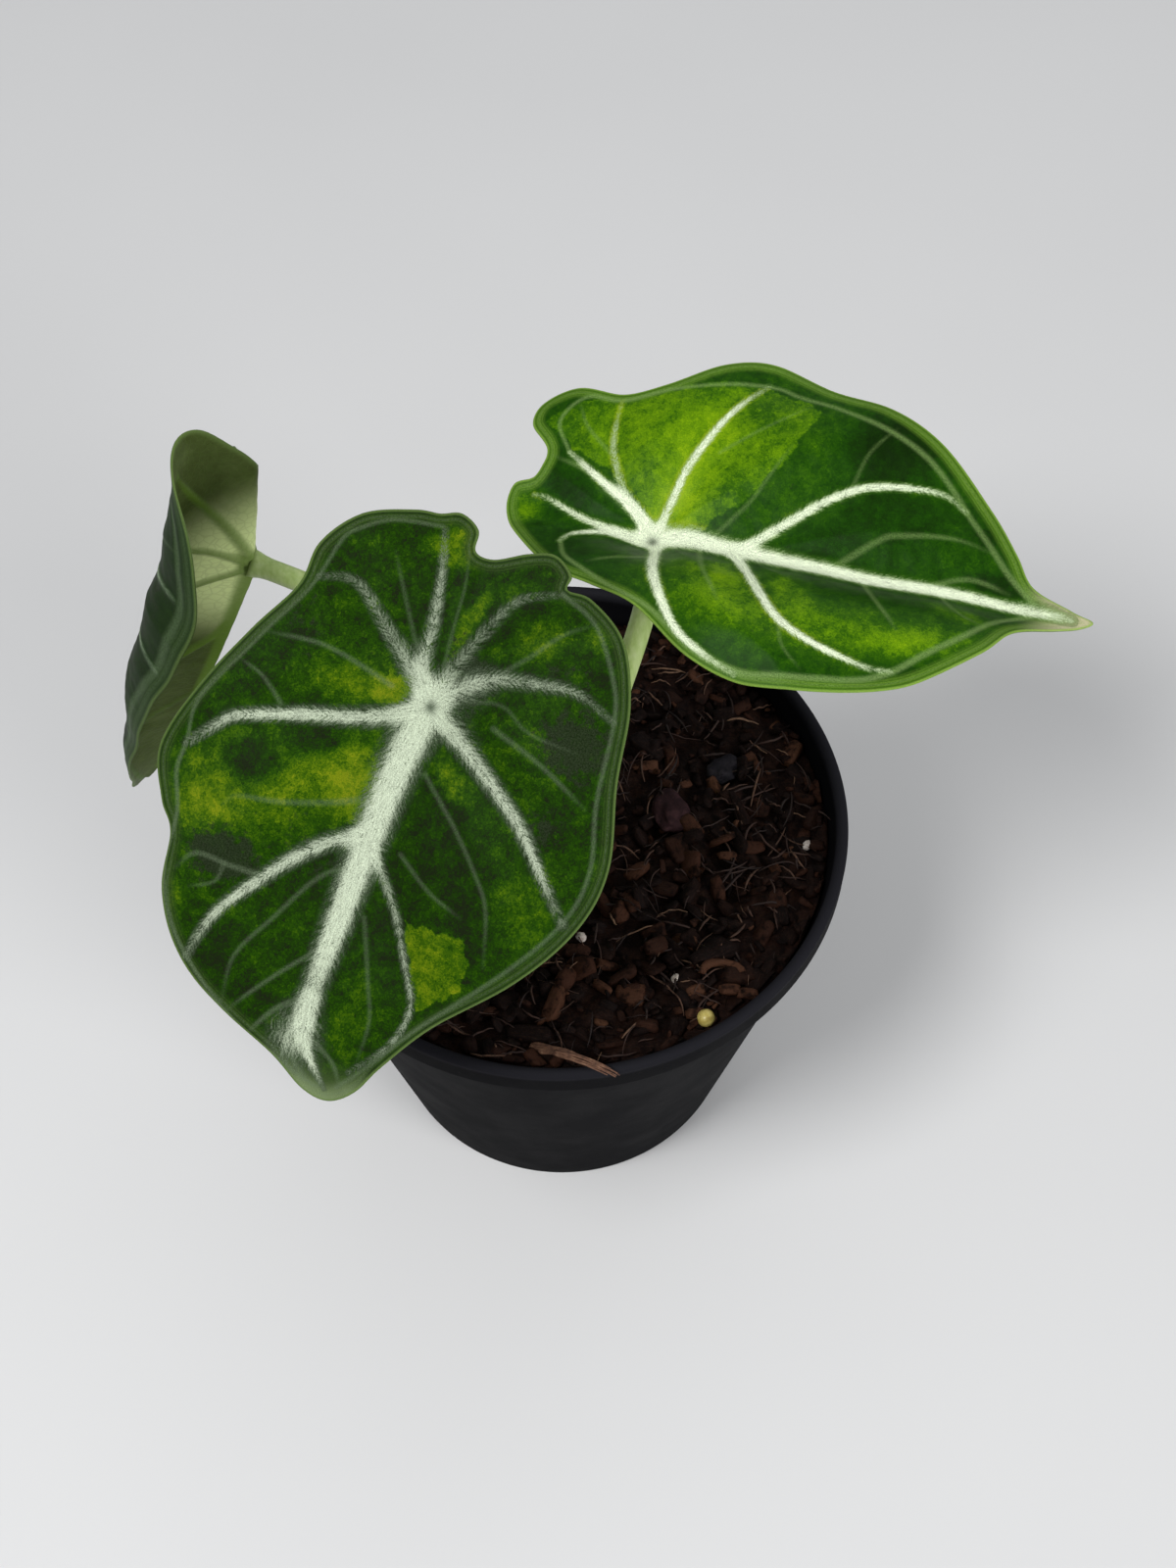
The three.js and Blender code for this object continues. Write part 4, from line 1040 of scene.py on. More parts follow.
def tube(line, radii, sides, side=(0.1, 0.2, 1), shape=None):
    """Vertices and faces of a closed tube; shape(angle, share) scales its radius."""
    line = np.asarray(line, float)
    way = np.gradient(line, axis=0)
    way /= np.linalg.norm(way, axis=1)[:, None]
    across = np.cross(np.array(side, float), way)
    across /= np.linalg.norm(across, axis=1)[:, None]
    up = np.cross(way, across)
    angle = np.linspace(0, FULL_TURN, sides, endpoint=False)
    share = np.linspace(0, 1, len(line))[:, None]
    scale = np.ones((len(line), sides)) if shape is None else shape(angle[None, :], share)
    reach = np.asarray(radii, float)[:, None] * scale
    rings = (
        line[:, None] + (reach * np.cos(angle))[..., None] * across[:, None]
        + (reach * np.sin(angle))[..., None] * up[:, None]
    )
    vertices = np.vstack([rings.reshape(-1, 3), line[:1], line[-1:]])
    faces = []
    for i in range(len(line) - 1):
        faces += between_rings(i * sides, (i + 1) * sides, sides)
    faces += fan(len(vertices) - 2, 0, sides, flip=True)
    faces += fan(len(vertices) - 1, (len(line) - 1) * sides, sides)
    return vertices, faces


def fluted(angle, along):
    """A stalk's section: shallow flutes, and a channel that fades out above its foot."""
    channel = 0.16 * np.exp(-((1 - np.cos(angle)) / 0.08)) * np.exp(-(along / 0.25) ** 2)
    return 1 + 0.02 * np.cos(7 * angle + 3 * along) - channel


def stalk_piece(name):
    line = stalk_line(LEAVES[name], **STALKS[name])
    share = np.linspace(0, 1, STALK["steps"])
    radii = STALK["base_radius"] + (STALK["neck_radius"] - STALK["base_radius"]) * share
    radii = radii + STALK["flare"] * np.exp(-((1 - share) / 0.02) ** 2)
    vertices, faces = tube(line, radii, STALK["sides"], side=(0.2, 1, 0.1), shape=fluted)
    piece = make_object(f"stalk_{name}_fine", vertices, faces)
    set_field(piece, "along", np.concatenate([np.repeat(share, STALK["sides"]), [0, 1]]))
    dress(piece, "leaf_stalk", stalk_material(name), replaces=[f"stalk_{name}"])


def stalk_material(name):
    shader = Shader(f"stalk_{name}")
    place = shader.place()
    streak = shader.noise(place, (900.0, 900.0, 90.0), 3, 0.6)
    blotch = shader.noise(place, 160.0, 4, 0.65)
    colour = shader.ramp(streak, [
        (0.25, (0.28, 0.39, 0.10)), (0.5, (0.37, 0.48, 0.17)), (0.75, (0.46, 0.55, 0.25)),
    ])
    colour = shader.over(colour, (0.13, 0.24, 0.03), blotch, 0.5, 0.75, 0.0, 0.35)
    colour = shader.over(colour, (0.16, 0.10, 0.05), shader.field("along"), 0.0, 0.25, 0.7, 0.0)
    return shader.finish(
        colour, 0.42, Normal=shader.bump(streak, 0.35, 0.25), Specular_IOR_Level=0.35,
        Subsurface_Weight=0.15, Subsurface_Radius=(0.5, 0.6, 0.2), Subsurface_Scale=0.002,
    )


# Pot
def inner_radius(z):
    top = POT["rim_radius"] - POT["collar_step"] - POT["wall"]
    bottom = POT["base_radius"] - POT["wall"]
    return bottom + (top - bottom) * z / POT["height"]


def arc(centre, radius, start, end, steps):
    return [
        (centre[0] + radius * math.cos(a), centre[1] + radius * math.sin(a))
        for a in np.linspace(math.radians(start), math.radians(end), steps)
    ]


def pot_profile():
    lip = (POT["wall"] + POT["collar_step"]) / 2
    foot, collar_foot = POT["foot_edge"], POT["height"] - POT["collar_height"]
    edge, floor = POT["collar_edge"], POT["floor"]
    outside = inner_radius(collar_foot) + POT["wall"]
    return [
        (0, 0),
        *arc((POT["base_radius"] - foot, foot), foot, -90, 0, 6),
        (outside - 0.35, collar_foot - 1.6), (outside, collar_foot - 0.1),
        *arc((POT["rim_radius"] - edge, collar_foot), edge, -90, 0, 5),
        (POT["rim_radius"] - 0.15, POT["height"] - 2.2 * lip),
        *arc((POT["rim_radius"] - lip, POT["height"] - lip), lip, 0, 180, 14),
        (inner_radius(floor + 1), floor + 1), (inner_radius(floor) - 1, floor),
        (0, floor),
    ]


def turned(profile, sides, centre=(0, 0)):
    """A closed lathe whose profile starts and ends on the axis."""
    angle = np.linspace(0, FULL_TURN, sides, endpoint=False)
    rows = profile[1:-1]
    vertices = [
        (centre[0] + r * math.cos(a), centre[1] + r * math.sin(a), z) for r, z in rows for a in angle
    ]
    start = len(vertices)
    vertices += [(*centre, profile[0][1]), (*centre, profile[-1][1])]
    faces = fan(start, 0, sides, flip=True) + fan(start + 1, (len(rows) - 1) * sides, sides)
    for i in range(len(rows) - 1):
        faces += between_rings(i * sides, (i + 1) * sides, sides)
    return vertices, faces


def cut_drain_holes(pot):
    radius, reach = DRAIN["radius"], 3 * POT["floor"]
    vertices, faces = [], []
    for i in range(DRAIN["count"]):
        centre = polar(DRAIN["ring"], (i + 0.5) * FULL_TURN / DRAIN["count"])
        profile = [(0, -reach), (radius, -reach), (radius, reach), (0, reach)]
        hole_vertices, hole_faces = turned(profile, DRAIN["sides"], centre)
        faces += [tuple(k + len(vertices) for k in face) for face in hole_faces]
        vertices += hole_vertices
    cutter = make_object("drain_cutter", vertices, faces)
    cut = pot.modifiers.new("drain", "BOOLEAN")
    cut.operation = "DIFFERENCE"
    cut.solver = "EXACT"
    cut.object = cutter
    bpy.context.view_layer.update()
    shape = pot.evaluated_get(bpy.context.evaluated_depsgraph_get())
    pot.data = bpy.data.meshes.new_from_object(shape)
    pot.modifiers.clear()
    bpy.data.objects.remove(cutter)


def pot_piece():
    vertices, faces = turned(pot_profile(), POT["sides"])
    pot = make_object("pot_shell", vertices, faces)
    cut_drain_holes(pot)
    pot.data.shade_smooth()
    pot.data.set_sharp_from_angle(angle=math.radians(35))
    dress(pot, "pot_plastic", pot_material(), replaces=["pot"])


def pot_material():
    shader = Shader("pot_plastic")
    place = shader.place()
    wear = shader.noise(place, 60.0, 4, 0.6)
    dust = shader.noise(place, 900.0, 3, 0.7)
    height = shader.parts(place)[2]
    colour = shader.ramp(wear, [(0.35, (0.0024, 0.0024, 0.0030)), (0.7, (0.0034, 0.0033, 0.0042))])
    colour = shader.over(colour, (0.05, 0.04, 0.036), dust, 0.66, 0.8, 0.0, 0.5)
    # Painted highlight: the rim's top band, from 92.5 to 94 mm up, is given a lighter grey-violet colour
    # that stands in for the sheen of light on it
    colour = shader.over(colour, (0.0110, 0.0108, 0.0135), height, 0.0925, 0.0940)
    normal = shader.bump(shader.noise(place, 2600.0, 2, 0.6), 0.25, 0.05)
    roughness = shader.level(wear, 0.3, 0.7, 0.62, 0.74)
    return shader.finish(colour, roughness, Normal=normal, Specular_IOR_Level=0.03)


# Soil
def soil_top(x, y):
    """The heap's height at a place, by the part's own formula."""
    lean = -SOIL["front_rise"] * y / POT["rim_radius"]
    broad = SOIL["broad"] * np.sin(0.21 * x + 1) * np.cos(0.17 * y)
    return SOIL["top"] + lean + broad + SOIL["small"] * np.sin(0.47 * x - 0.39 * y)


def on_soil(x, y, rise):
    return np.array([x, y, float(soil_top(x, y)) + rise])


def park_miller(seed):
    """The part's own seeded random numbers, so that its chips fall in the same places."""
    state = seed
    while True:
        state = (state * 16807) % 2147483647
        yield state / 2147483647


def bed_point(radius, angle):
    x, y = polar(radius, angle)
    lump = BED["lump"] * noise.fractal(Vector((0.22 * x, 0.22 * y, 0.5)), 0.7, 2.1, 5)
    return x, y, float(soil_top(x, y)) - BED["sunk"] + lump


def soil_bed():
    rings, spokes = BED["rings"], BED["spokes"]
    angles = [FULL_TURN * spoke / spokes for spoke in range(spokes)]
    reach, floor = inner_radius(SOIL["top"]) - GAP, POT["floor"] + GAP
    foot_radius = inner_radius(POT["floor"]) - GAP
    vertices = [(0, 0, float(soil_top(0, 0)))]
    for ring in range(1, rings + 1):
        vertices += [bed_point(reach * ring / rings, angle) for angle in angles]
    foot = len(vertices)
    vertices += [(*polar(foot_radius, angle), floor) for angle in angles] + [(0, 0, floor)]
    faces = fan(0, 1, spokes)
    for ring in range(rings):
        faces += between_rings(1 + ring * spokes, 1 + (ring + 1) * spokes, spokes, flip=True)
    faces += fan(foot + spokes, foot, spokes, flip=True)
    bed = make_object("soil_bed", vertices, faces)
    dress(bed, "bark_soil", soil_material("soil_bed", 0.8), replaces=["soil"])


def rotation(roll, tilt, yaw):
    """Turns about X, then Y, then Z."""
    cr, sr, ct, st, cy, sy = (turn(angle) for angle in (roll, tilt, yaw) for turn in (math.cos, math.sin))
    about_x = np.array([[1, 0, 0], [0, cr, -sr], [0, sr, cr]])
    about_y = np.array([[ct, 0, st], [0, 1, 0], [-st, 0, ct]])
    about_z = np.array([[cy, -sy, 0], [sy, cy, 0], [0, 0, 1]])
    return about_z @ about_y @ about_x


def ball(subdivisions):
    """Vertices and triangles of a unit icosphere."""
    mesh = bmesh.new()
    bmesh.ops.create_icosphere(mesh, subdivisions=subdivisions, radius=1)
    vertices = np.array([v.co[:] for v in mesh.verts])
    faces = np.array([[v.index for v in f.verts] for f in mesh.faces])
    mesh.free()
    return vertices, faces


def random_offset(draw, reach):
    return Vector([draw.uniform(0, reach) for _ in range(3)])


def chip_shape(unit, size, draw, ragged):
    """A bark chip: a ball squared off into a slab, bent, and split along its grain."""
    along, across = CHIP_SHAPE["along"], CHIP_SHAPE["across"]
    squared = np.sign(unit) * np.abs(unit) ** CHIP_SHAPE["square"]
    squared /= np.maximum(1, np.linalg.norm(squared, axis=1) ** CHIP_SHAPE["round"])[:, None]
    offset = random_offset(draw, 90)
    jitter = np.array([
        noise.noise_vector(Vector((along * x, across * y, across * z)) + offset)[:] for x, y, z in squared
    ])
    shape = (squared + ragged * jitter) * size
    shape[:, 1] *= 1 + draw.uniform(-CHIP_SHAPE["taper"], CHIP_SHAPE["taper"]) * squared[:, 0]
    shape[:, 2] += draw.uniform(*CHIP_SHAPE["bend"]) * size[2] * squared[:, 0] ** 2
    return shape


class Heap:
    """Gathers many small meshes, with one shade number for each, into one piece."""

    def __init__(self):
        self.vertices, self.faces, self.shades, self.grains = [], [], [], []
        self.count = 0

    def add(self, vertices, faces, shade, grain=None):
        self.vertices.append(vertices)
        self.faces.extend([tuple(k + self.count for k in face) for face in faces])
        self.shades.append(np.full(len(vertices), shade))
        self.grains.append(vertices if grain is None else grain)
        self.count += len(vertices)

    def piece(self, name, smooth=True):
        piece = make_object(name, np.vstack(self.vertices), self.faces, smooth)
        set_field(piece, "shade", np.concatenate(self.shades))
        set_field(piece, "grain", np.vstack(self.grains))
        return piece


def clear_of_plants(x, y, reach):
    spots = [(CROWN["x"], CROWN["y"], CROWN["radius"])]
    spots += [(*bit["at"], CHIPS["bit_room"]) for bit in BITS.values()]
    return all(math.hypot(x - sx, y - sy) > reach + radius for sx, sy, radius in spots)


def between(span, share):
    return span[0] + (span[1] - span[0]) * share


def big_chips():
    """The part's own chips, with a finer shape."""
    numbers = park_miller(CHIPS["seed"])
    draw = random.Random(CHIPS["shape_seed"])
    unit, faces = ball(CHIPS["detail"])
    heap = Heap()
    made = 0
    while made < CHIPS["count"]:
        shares = [next(numbers) for _ in range(8)]
        x, y = polar(CHIPS["ring"] * math.sqrt(shares[1]), FULL_TURN * shares[0])
        length = between(CHIPS["length"], shares[2] ** 2)
        width = between(CHIPS["half_width"], shares[3])
        depth = between(CHIPS["half_depth"], shares[4])
        if clear_of_plants(x, y, length / 2):
            tilt = CHIPS["tilt"] * (2 * shares[6] - 1)
            roll = CHIPS["roll"] * (2 * shares[7] - 1)
            grain = chip_shape(unit, np.array([length / 2, width, depth]), draw, CHIPS["ragged"])
            placed = grain @ rotation(roll, tilt, math.pi * shares[5]).T
            keep_inside(placed, x, y)
            heap.add(placed + on_soil(x, y, CHIPS["standing"] * depth), faces, draw.random(), grain)
            made += 1
    add_curled_chip(heap, draw)
    dress(heap.piece("soil_chips_large"), "bark_soil", soil_material("bark_chips", 1.0))


def rough_section(turn, share):
    return 1 + 0.14 * np.sin(3 * turn + 9 * share) + 0.08 * np.sin(7 * turn - 31 * share)


def add_curled_chip(heap, draw):
    """A curl of husk near the front, like a low arch that lies on its side, and its crumbs."""
    radius, thick = CURLED_CHIP["radius"], CURLED_CHIP["thick"]
    angle = np.radians(np.linspace(*CURLED_CHIP["turn"], CURLED_CHIP["steps"]))
    x = CURLED_CHIP["at"][0] + radius * np.cos(angle)
    y = CURLED_CHIP["at"][1] + 0.75 * radius * np.sin(angle)
    line = np.stack([x, y, soil_top(x, y) + thick * (0.9 + 0.25 * np.sin(3 * angle))], 1)
    radii = thick * (0.65 + 0.35 * np.sin(np.linspace(0.25, math.pi - 0.25, len(line))))
    vertices, faces = tube(line, radii, CURLED_CHIP["sides"], shape=rough_section)
    heap.add(vertices, faces, CURLED_CHIP["shade"], vertices - line.mean(0))
    unit, crumb_faces = ball(CHIPS["detail"])
    for x, y in CURLED_CHIP["crumbs"]:
        shape = chip_shape(unit, np.array(CURLED_CHIP["crumb_size"]), draw, CRUMBS["ragged"])
        place = on_soil(x, y, CURLED_CHIP["crumb_rise"])
        heap.add(shape + place, crumb_faces, CURLED_CHIP["crumb_shade"], shape)


def keep_inside(shape, x, y):
    """Pulls a chip's points back from the pot's wall."""
    reach = inner_radius(SOIL["top"]) - CHIPS["wall_gap"]
    distance = np.hypot(shape[:, 0] + x, shape[:, 1] + y)
    over = distance > reach
    factor = reach / distance[over]
    shape[over, 0] = (shape[over, 0] + x) * factor - x
    shape[over, 1] = (shape[over, 1] + y) * factor - y


def small_chips():
    draw = random.Random(CRUMBS["seed"])
    unit, faces = ball(CRUMBS["detail"])
    heap = Heap()
    for _ in range(CRUMBS["tries"]):
        angle, radius = draw.uniform(0, FULL_TURN), CRUMBS["ring"] * math.sqrt(draw.random())
        x, y = polar(radius, angle)
        length = CRUMBS["shortest"] + CRUMBS["longer"] * draw.random() ** 2.2
        size = np.array([length, length * draw.uniform(0.3, 0.75), length * draw.uniform(0.2, 0.45)])
        shape = chip_shape(unit, np.maximum(size, CRUMBS["least"]), draw, CRUMBS["ragged"])
        turn = rotation(draw.uniform(-0.8, 0.8), draw.uniform(-0.6, 0.6), draw.uniform(0, math.pi))
        if math.hypot(x - CROWN["x"], y - CROWN["y"]) > CROWN["radius"] + 0.5 * length:
            placed = shape @ turn.T
            keep_inside(placed, x, y)
            spot = on_soil(x, y, -CRUMBS["sunk"]) + (0, 0, draw.uniform(-0.3, 0.5))
            heap.add(placed + spot, faces, draw.random(), shape)
    dress(heap.piece("soil_chips_small"), "bark_soil", soil_material("bark_crumbs", 1.0))


def fibre_line(draw):
    """A short curl in plan that rises a little in its middle."""
    angle, radius = draw.uniform(0, FULL_TURN), FIBRES["ring"] * math.sqrt(draw.random())
    length = draw.uniform(*FIBRES["length"])
    heading, bend = draw.uniform(0, FULL_TURN), draw.uniform(-FIBRES["bend"], FIBRES["bend"])
    steps = FIBRES["steps"]
    line = []
    x, y = 0.0, 0.0
    for i in range(steps):
        line.append((x, y, 0.35 + draw.uniform(-0.25, 0.35) + 0.5 * math.sin(math.pi * i / (steps - 1))))
        heading += bend / steps
        x += math.cos(heading) * length / steps
        y += math.sin(heading) * length / steps
    line = smooth_path(line, per_span=2)
    line[:, :2] += polar(radius, angle)
    return line


def husk_fibres():
    draw = random.Random(FIBRES["seed"])
    heap = Heap()
    for _ in range(FIBRES["tries"]):
        line = fibre_line(draw)
        from_crown = np.hypot(line[:, 0] - CROWN["x"], line[:, 1] - CROWN["y"]).min()
        reach = np.hypot(line[:, 0], line[:, 1]).max()
        if from_crown > CROWN["radius"] + 0.5 and reach < FIBRES["reach"]:
            line[:, 2] += soil_top(line[:, 0], line[:, 1])
            radii = draw.uniform(*FIBRES["thick"]) * (1 - 0.6 * np.linspace(-1, 1, len(line)) ** 2)
            vertices, faces = tube(line, radii, FIBRES["sides"])
            heap.add(vertices, faces, draw.random())
    dress(heap.piece("soil_fibres"), "bark_soil", fibre_material())


def soil_material(name, darkest):
    """Bark by each chip's own grain and shade; the bed has neither, and takes them from its place."""
    shader = Shader(name)
    place = shader.place()
    if name == "soil_bed":
        grain, shade = shader.stretched(place, (1000.0,) * 3), shader.noise(place, 300.0, 2)
    else:
        grain, shade = shader.vector_field("grain"), shader.field("shade")
    fibre = shader.noise(shader.stretched(grain, (0.5, 3.0, 3.0)), 1.3, 4, 0.7)
    patch = shader.noise(place, 450.0, 4, 0.65)
    colour = shader.ramp(shade, [
        (0.0, [darkest * c for c in (0.0040, 0.0018, 0.0014)]), (0.45, (0.0075, 0.0028, 0.0018)),
        (0.70, (0.0170, 0.0062, 0.0034)), (0.88, (0.0400, 0.0150, 0.0080)), (1.0, (0.0800, 0.0340, 0.0180)),
    ])
    colour = shader.over(colour, (0.0380, 0.0150, 0.0085), fibre, 0.5, 0.72, 0.0, 0.6)
    colour = shader.over(colour, (0.0030, 0.0014, 0.0012), patch, 0.48, 0.66, 0.0, 0.85)
    height = shader.math("MULTIPLY_ADD", fibre, 0.7, shader.product(patch, 0.6))
    roughness = shader.level(patch, 0.35, 0.65, 0.55, 0.85)
    return shader.finish(colour, roughness, Normal=shader.bump(height, 0.8, 0.5), Specular_IOR_Level=0.09)


def fibre_material():
    shader = Shader("husk_fibre")
    streak = shader.noise(shader.place(), 900.0, 3, 0.6)
    colour = shader.ramp(shader.field("shade"), [
        (0.0, (0.010, 0.0050, 0.0040)), (0.6, (0.034, 0.0150, 0.0100)), (0.9, (0.090, 0.0450, 0.0260)),
        (1.0, (0.16, 0.090, 0.052)),
    ])
    colour = shader.over(colour, (0.010, 0.0055, 0.0045), streak, 0.45, 0.7, 0.0, 0.6)
    return shader.finish(colour, 0.7, Normal=shader.bump(streak, 0.4, 0.1), Specular_IOR_Level=0.3)


# Bits on the soil
def bit_piece(name, level, ragged, slot, material):
    """A small lump on the soil, made from a ball with level subdivisions."""
    bit = BITS[name]
    unit, faces = ball(level)
    offset = random_offset(random.Random(name), 50)
    jitter = np.array([noise.noise_vector(Vector(1.6 * p) + offset)[:] for p in unit])
    fine = np.array([noise.noise_vector(Vector(5.0 * p) + offset)[:] for p in unit])
    size = np.array(bit["size"], float) * (1 - 0.4 * ragged)
    shape = (unit + ragged * jitter + 0.3 * ragged * fine) * size
    placed = shape @ rotation(0, 0, math.radians(bit["turn"])).T
    piece = make_object(f"{name}_fine", placed + on_soil(*bit["at"], BIT_STANDING * bit["size"][2]), faces)
    dress(piece, slot, material, replaces=[name])


def bark_material(name, low, high, rim):
    shader = Shader(name)
    place = shader.place()
    rough = shader.noise(place, 420.0, 5, 0.65)
    layers = shader.noise(place, (300.0, 300.0, 1500.0), 3, 0.6)
    colour = shader.ramp(rough, [(0.3, low), (0.7, high)])
    colour = shader.over(colour, rim, layers, 0.5, 0.7, 0.0, 0.6)
    normal = shader.bump(shader.math("ADD", rough, layers), 0.7, 0.4)
    return shader.finish(colour, 0.75, Normal=normal, Specular_IOR_Level=0.1)


def perlite_material():
    shader = Shader("perlite")
    place = shader.place()
    pores = shader.cell_edges(place, 3200.0)
    stain = shader.noise(place, 900.0, 3, 0.6)
    colour = shader.ramp(stain, [(0.35, (0.36, 0.30, 0.26)), (0.65, (0.70, 0.64, 0.58))])
    colour = shader.over(colour, (0.22, 0.17, 0.14), pores, 0.02, 0.15, 0.5, 0.0)
    return shader.finish(colour, 0.85, Normal=shader.bump(pores, 0.9, 0.25))


def pellet_material():
    shader = Shader("feed_pellet")
    mottle = shader.noise(shader.place(), 900.0, 3, 0.6)
    colour = shader.ramp(mottle, [(0.3, (0.34, 0.25, 0.05)), (0.7, (0.62, 0.52, 0.16))])
    return shader.finish(colour, 0.35, Normal=shader.bump(mottle, 0.3, 0.15))


def strip_line():
    """From the soil, up the pot's wall and over its rim."""
    rest = POT["height"] + GAP + HUSK_STRIP["half_thickness"]
    points = [on_soil(*HUSK_STRIP["soil_end"])]
    points += [(x, y, rest + z) for x, y, z in HUSK_STRIP["over_rim"]]
    return smooth_path(points, per_span=12)


def husk_strip_piece():
    line = strip_line()
    share = np.linspace(0, 1, len(line))
    spread = HUSK_STRIP["half_width"] * (1 - (1 - HUSK_STRIP["tip_share"]) * share)
    way = np.gradient(line, axis=0)
    way /= np.linalg.norm(way, axis=1)[:, None]
    across = np.cross(way, (0, 0, 1))
    across /= np.linalg.norm(across, axis=1)[:, None]
    draw = random.Random(HUSK_STRIP["seed"])
    heap = Heap()
    for _ in range(HUSK_STRIP["strands"]):
        place = draw.uniform(-1, 1)
        first = int(draw.uniform(0, 0.3) * len(line))
        last = int(draw.uniform(0.7, 1.0) * len(line))
        wander = 0.25 * np.sin(share * draw.uniform(4, 11) + draw.uniform(0, 6))
        strand = line + ((place * 0.8 + wander) * spread)[:, None] * across
        strand[:, 2] += draw.uniform(-0.6, 0.6) * HUSK_STRIP["half_thickness"]
        strand = strand[first:last]
        vertices, faces = tube(strand, np.linspace(draw.uniform(0.25, 0.4), 0.12, len(strand)), 6)
        heap.add(vertices, faces, draw.uniform(0.7, 1.0))
    dress(heap.piece("husk_strip_strands"), "dry_husk", strip_material(), replaces=["husk_strip"])


def strip_material():
    shader = Shader("dry_husk")
    streak = shader.noise(shader.place(), (700.0, 700.0, 700.0), 4, 0.6)
    colour = shader.ramp(streak, [
        (0.3, (0.045, 0.020, 0.012)), (0.55, (0.13, 0.062, 0.036)), (0.8, (0.26, 0.15, 0.09)),
    ])
    return shader.finish(colour, 0.75, Normal=shader.bump(streak, 0.5, 0.2), Specular_IOR_Level=0.3)


# Crown
def crown_piece():
    outline = smooth_path([(s * CROWN["radius"], z) for s, z in CROWN["outline"]], per_span=8)
    profile = [(0, CROWN["bottom"]), *map(tuple, outline), (0, CROWN["top"])]
    vertices, faces = turned(profile, CROWN["sides"], (CROWN["x"], CROWN["y"]))
    vertices = np.array(vertices)
    centre = np.array([CROWN["x"], CROWN["y"], 0])
    out = vertices - centre
    angle = np.arctan2(out[:, 1], out[:, 0])
    folds = 1 + 0.05 * np.sin(5 * angle + 0.3 * out[:, 2]) + 0.03 * np.sin(1.9 * out[:, 2])
    vertices[:, :2] = centre[:2] + out[:, :2] * folds[:, None]
    heap = Heap()
    heap.add(vertices, faces, 0.5)
    for place in SCALE["angles"]:
        heap.add(scale_points(place), scale_faces(), 0.9)
    dress(heap.piece("crown_and_corm"), "corm_skin", crown_material(), replaces=["corm_and_crown"])


def scale_points(place):
    """A dry pointed scale that clasps the neck: a grid for its outer skin, then one for its inner."""
    rows, columns = SCALE["rows"], SCALE["columns"]
    foot = CROWN["top"] - SCALE["height"] / 2
    points = []
    for skin in (0.0, -SCALE["thick"]):
        for i in range(rows + 1):
            share = i / rows
            width = SCALE["radius"] * 1.15 * (1 - share ** 2.2)
            radius = SCALE["ring_share"] * CROWN["radius"] + 1.9 - 1.2 * share + skin
            for j in range(columns + 1):
                side = 2 * j / columns - 1
                curl = 0.5 * side * side * share
                x, y = polar(radius + curl, place + side * width / radius)
                points.append((CROWN["x"] + x, CROWN["y"] + y, foot + SCALE["height"] * share))
    return np.array(points)


def scale_faces():
    rows, columns = SCALE["rows"], SCALE["columns"]
    row = columns + 1
    half = (rows + 1) * row
    faces = []
    for i in range(rows):
        for j in range(columns):
            a = i * row + j
            faces.append((a, a + 1, a + row + 1, a + row))
            faces.append((half + a, half + a + row, half + a + row + 1, half + a + 1))
        for a, flip in ((i * row, False), (i * row + columns, True)):
            face = (a, a + row, half + a + row, half + a)
            faces.append(face[::-1] if flip else face)
    for j in range(columns):
        faces.append((j, half + j, half + j + 1, j + 1))
        a = rows * row + j
        faces.append((a, a + 1, half + a + 1, half + a))
    return faces


def crown_material():
    shader = Shader("corm_skin")
    streak = shader.noise(shader.place(), (900.0, 900.0, 120.0), 4, 0.65)
    colour = shader.ramp(streak, [
        (0.3, (0.030, 0.018, 0.010)), (0.6, (0.090, 0.060, 0.028)), (0.8, (0.17, 0.13, 0.055)),
    ])
    colour = shader.over(colour, (0.20, 0.13, 0.07), shader.field("shade"), 0.6, 0.9, 0.0, 0.5)
    return shader.finish(colour, 0.65, Normal=shader.bump(streak, 0.6, 0.3), Specular_IOR_Level=0.3)


# Studio
def camera():
    data = bpy.data.cameras.new("camera")
    data.lens = CAMERA["lens"]
    data.sensor_width = CAMERA["sensor"]
    data.sensor_fit = "AUTO"
    data.clip_end = 20
    view = bpy.data.objects.new("camera", data)
    view.location = Vector(CAMERA["at"]) * MM
    view.rotation_euler = (math.radians(90 - CAMERA["below_level"]), 0, 0)
    bpy.context.scene.collection.objects.link(view)
    bpy.context.scene.camera = view


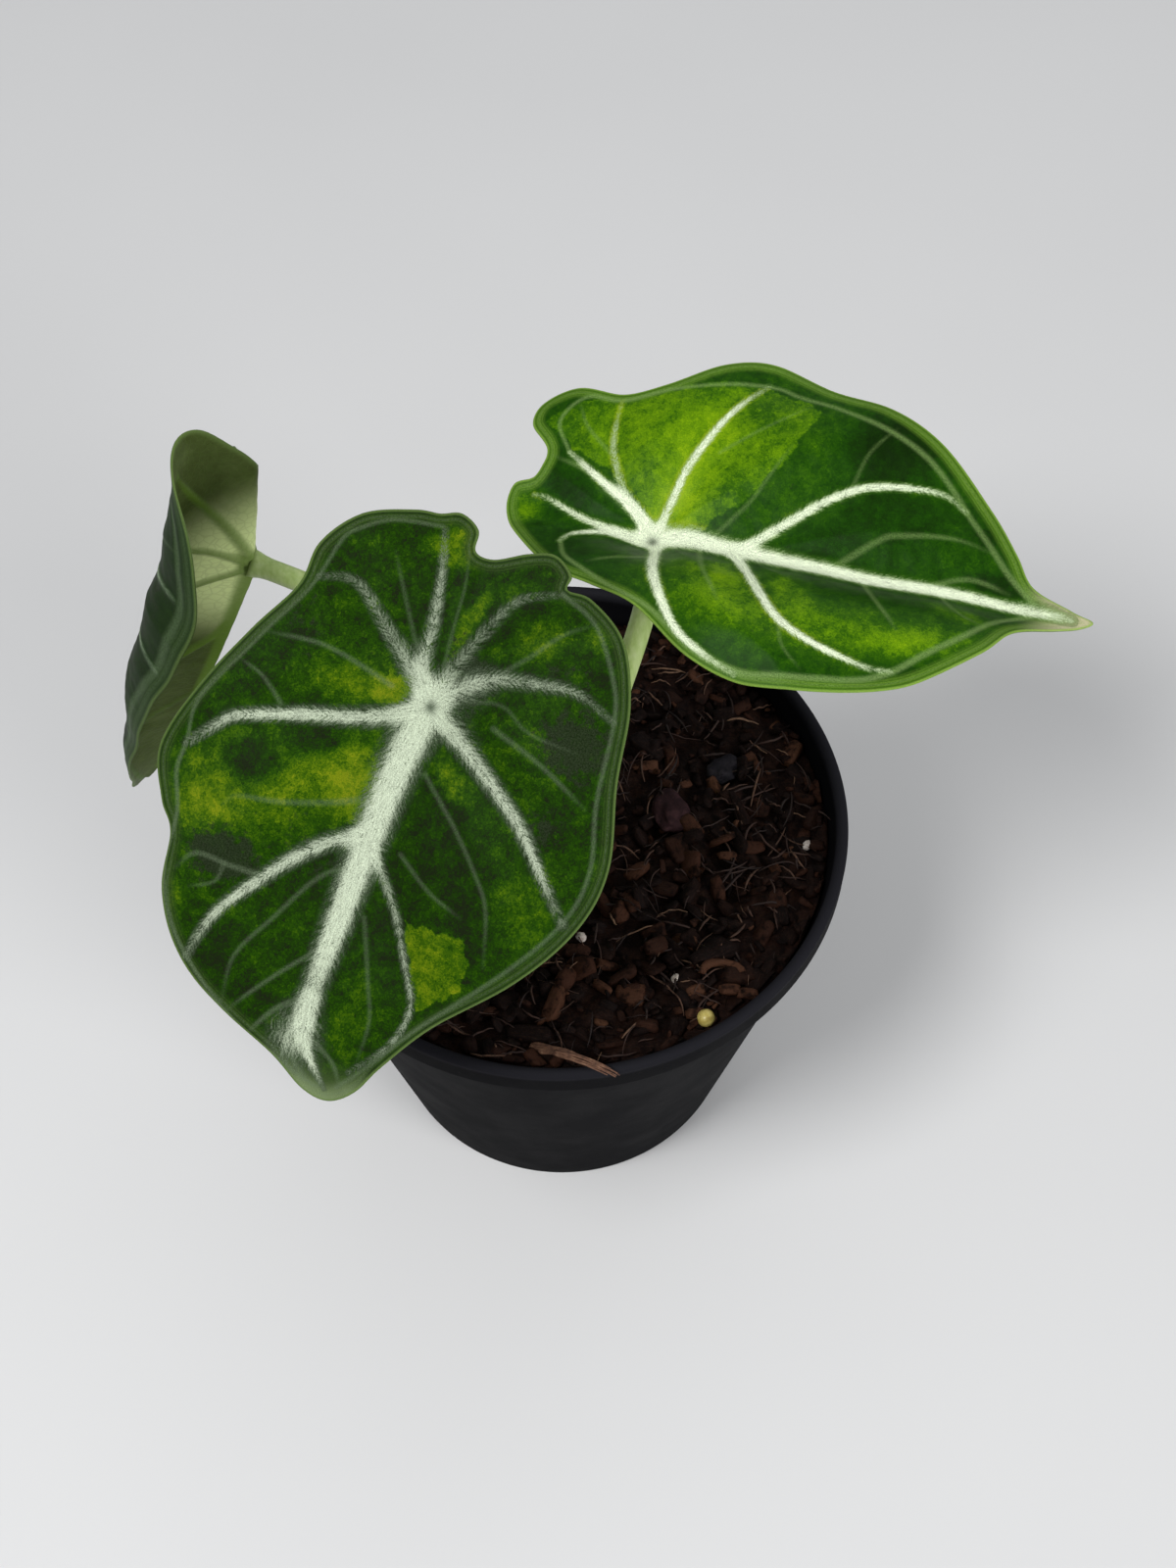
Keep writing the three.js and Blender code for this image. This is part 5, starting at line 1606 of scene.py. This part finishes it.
def area_light(name, place, width, power):
    data = bpy.data.lights.new(name, "AREA")
    data.shape = "DISK"
    data.size = width
    data.energy = power
    lamp = bpy.data.objects.new(name, data)
    lamp.location = place
    lamp.rotation_euler = (Vector(LIT_POINT) - Vector(place)).to_track_quat("-Z", "Y").to_euler()
    bpy.context.scene.collection.objects.link(lamp)


def studio():
    world = bpy.data.worlds.new("studio")
    world.use_nodes = True
    sky = world.node_tree.nodes["Background"]
    sky.inputs["Color"].default_value = SKY["colour"]
    sky.inputs["Strength"].default_value = SKY["strength"]
    bpy.context.scene.world = world
    bpy.context.scene.view_settings.view_transform = "Standard"
    for name, (place, width, power) in LIGHTS.items():
        area_light(name, place, width, power)
    far = FLOOR_REACH / MM
    corners = [(-far, -far, 0), (far, -far, 0), (far, far, 0), (-far, far, 0)]
    floor = make_object("floor", corners, [(0, 1, 2, 3)], smooth=False)
    shader = Shader("floor")
    soft = shader.noise(shader.place(), 3.0, 3, 0.5)
    colour = shader.ramp(soft, [(0.3, (0.60, 0.60, 0.60)), (0.7, (0.64, 0.64, 0.64))])
    floor.data.materials.append(shader.finish(colour, 0.7))


# Making the plant
camera()
for leaf_name, leaf_data in LEAVES.items():
    leaf_piece(leaf_name, leaf_data)
    stalk_piece(leaf_name)
pot_piece()
soil_bed()
big_chips()
small_chips()
husk_fibres()
crown_piece()
mauve = bark_material("bark_mauve", (0.0120, 0.0052, 0.0060), (0.034, 0.0145, 0.0165), (0.056, 0.025, 0.027))
slate = bark_material("bark_dark", (0.0060, 0.0055, 0.0075), (0.016, 0.014, 0.018), (0.030, 0.026, 0.030))
bit_piece("bark_chip_mauve", 4, 0.2, "bark_mauve", mauve)
bit_piece("bark_chip_dark", 4, 0.25, "bark_dark", slate)
perlite = perlite_material()
for grain_name in ("perlite_front", "perlite_middle", "perlite_side"):
    bit_piece(grain_name, 3, 0.3, "perlite", perlite)
bit_piece("feed_pellet", 4, 0.04, "feed_pellet", pellet_material())
husk_strip_piece()
studio()
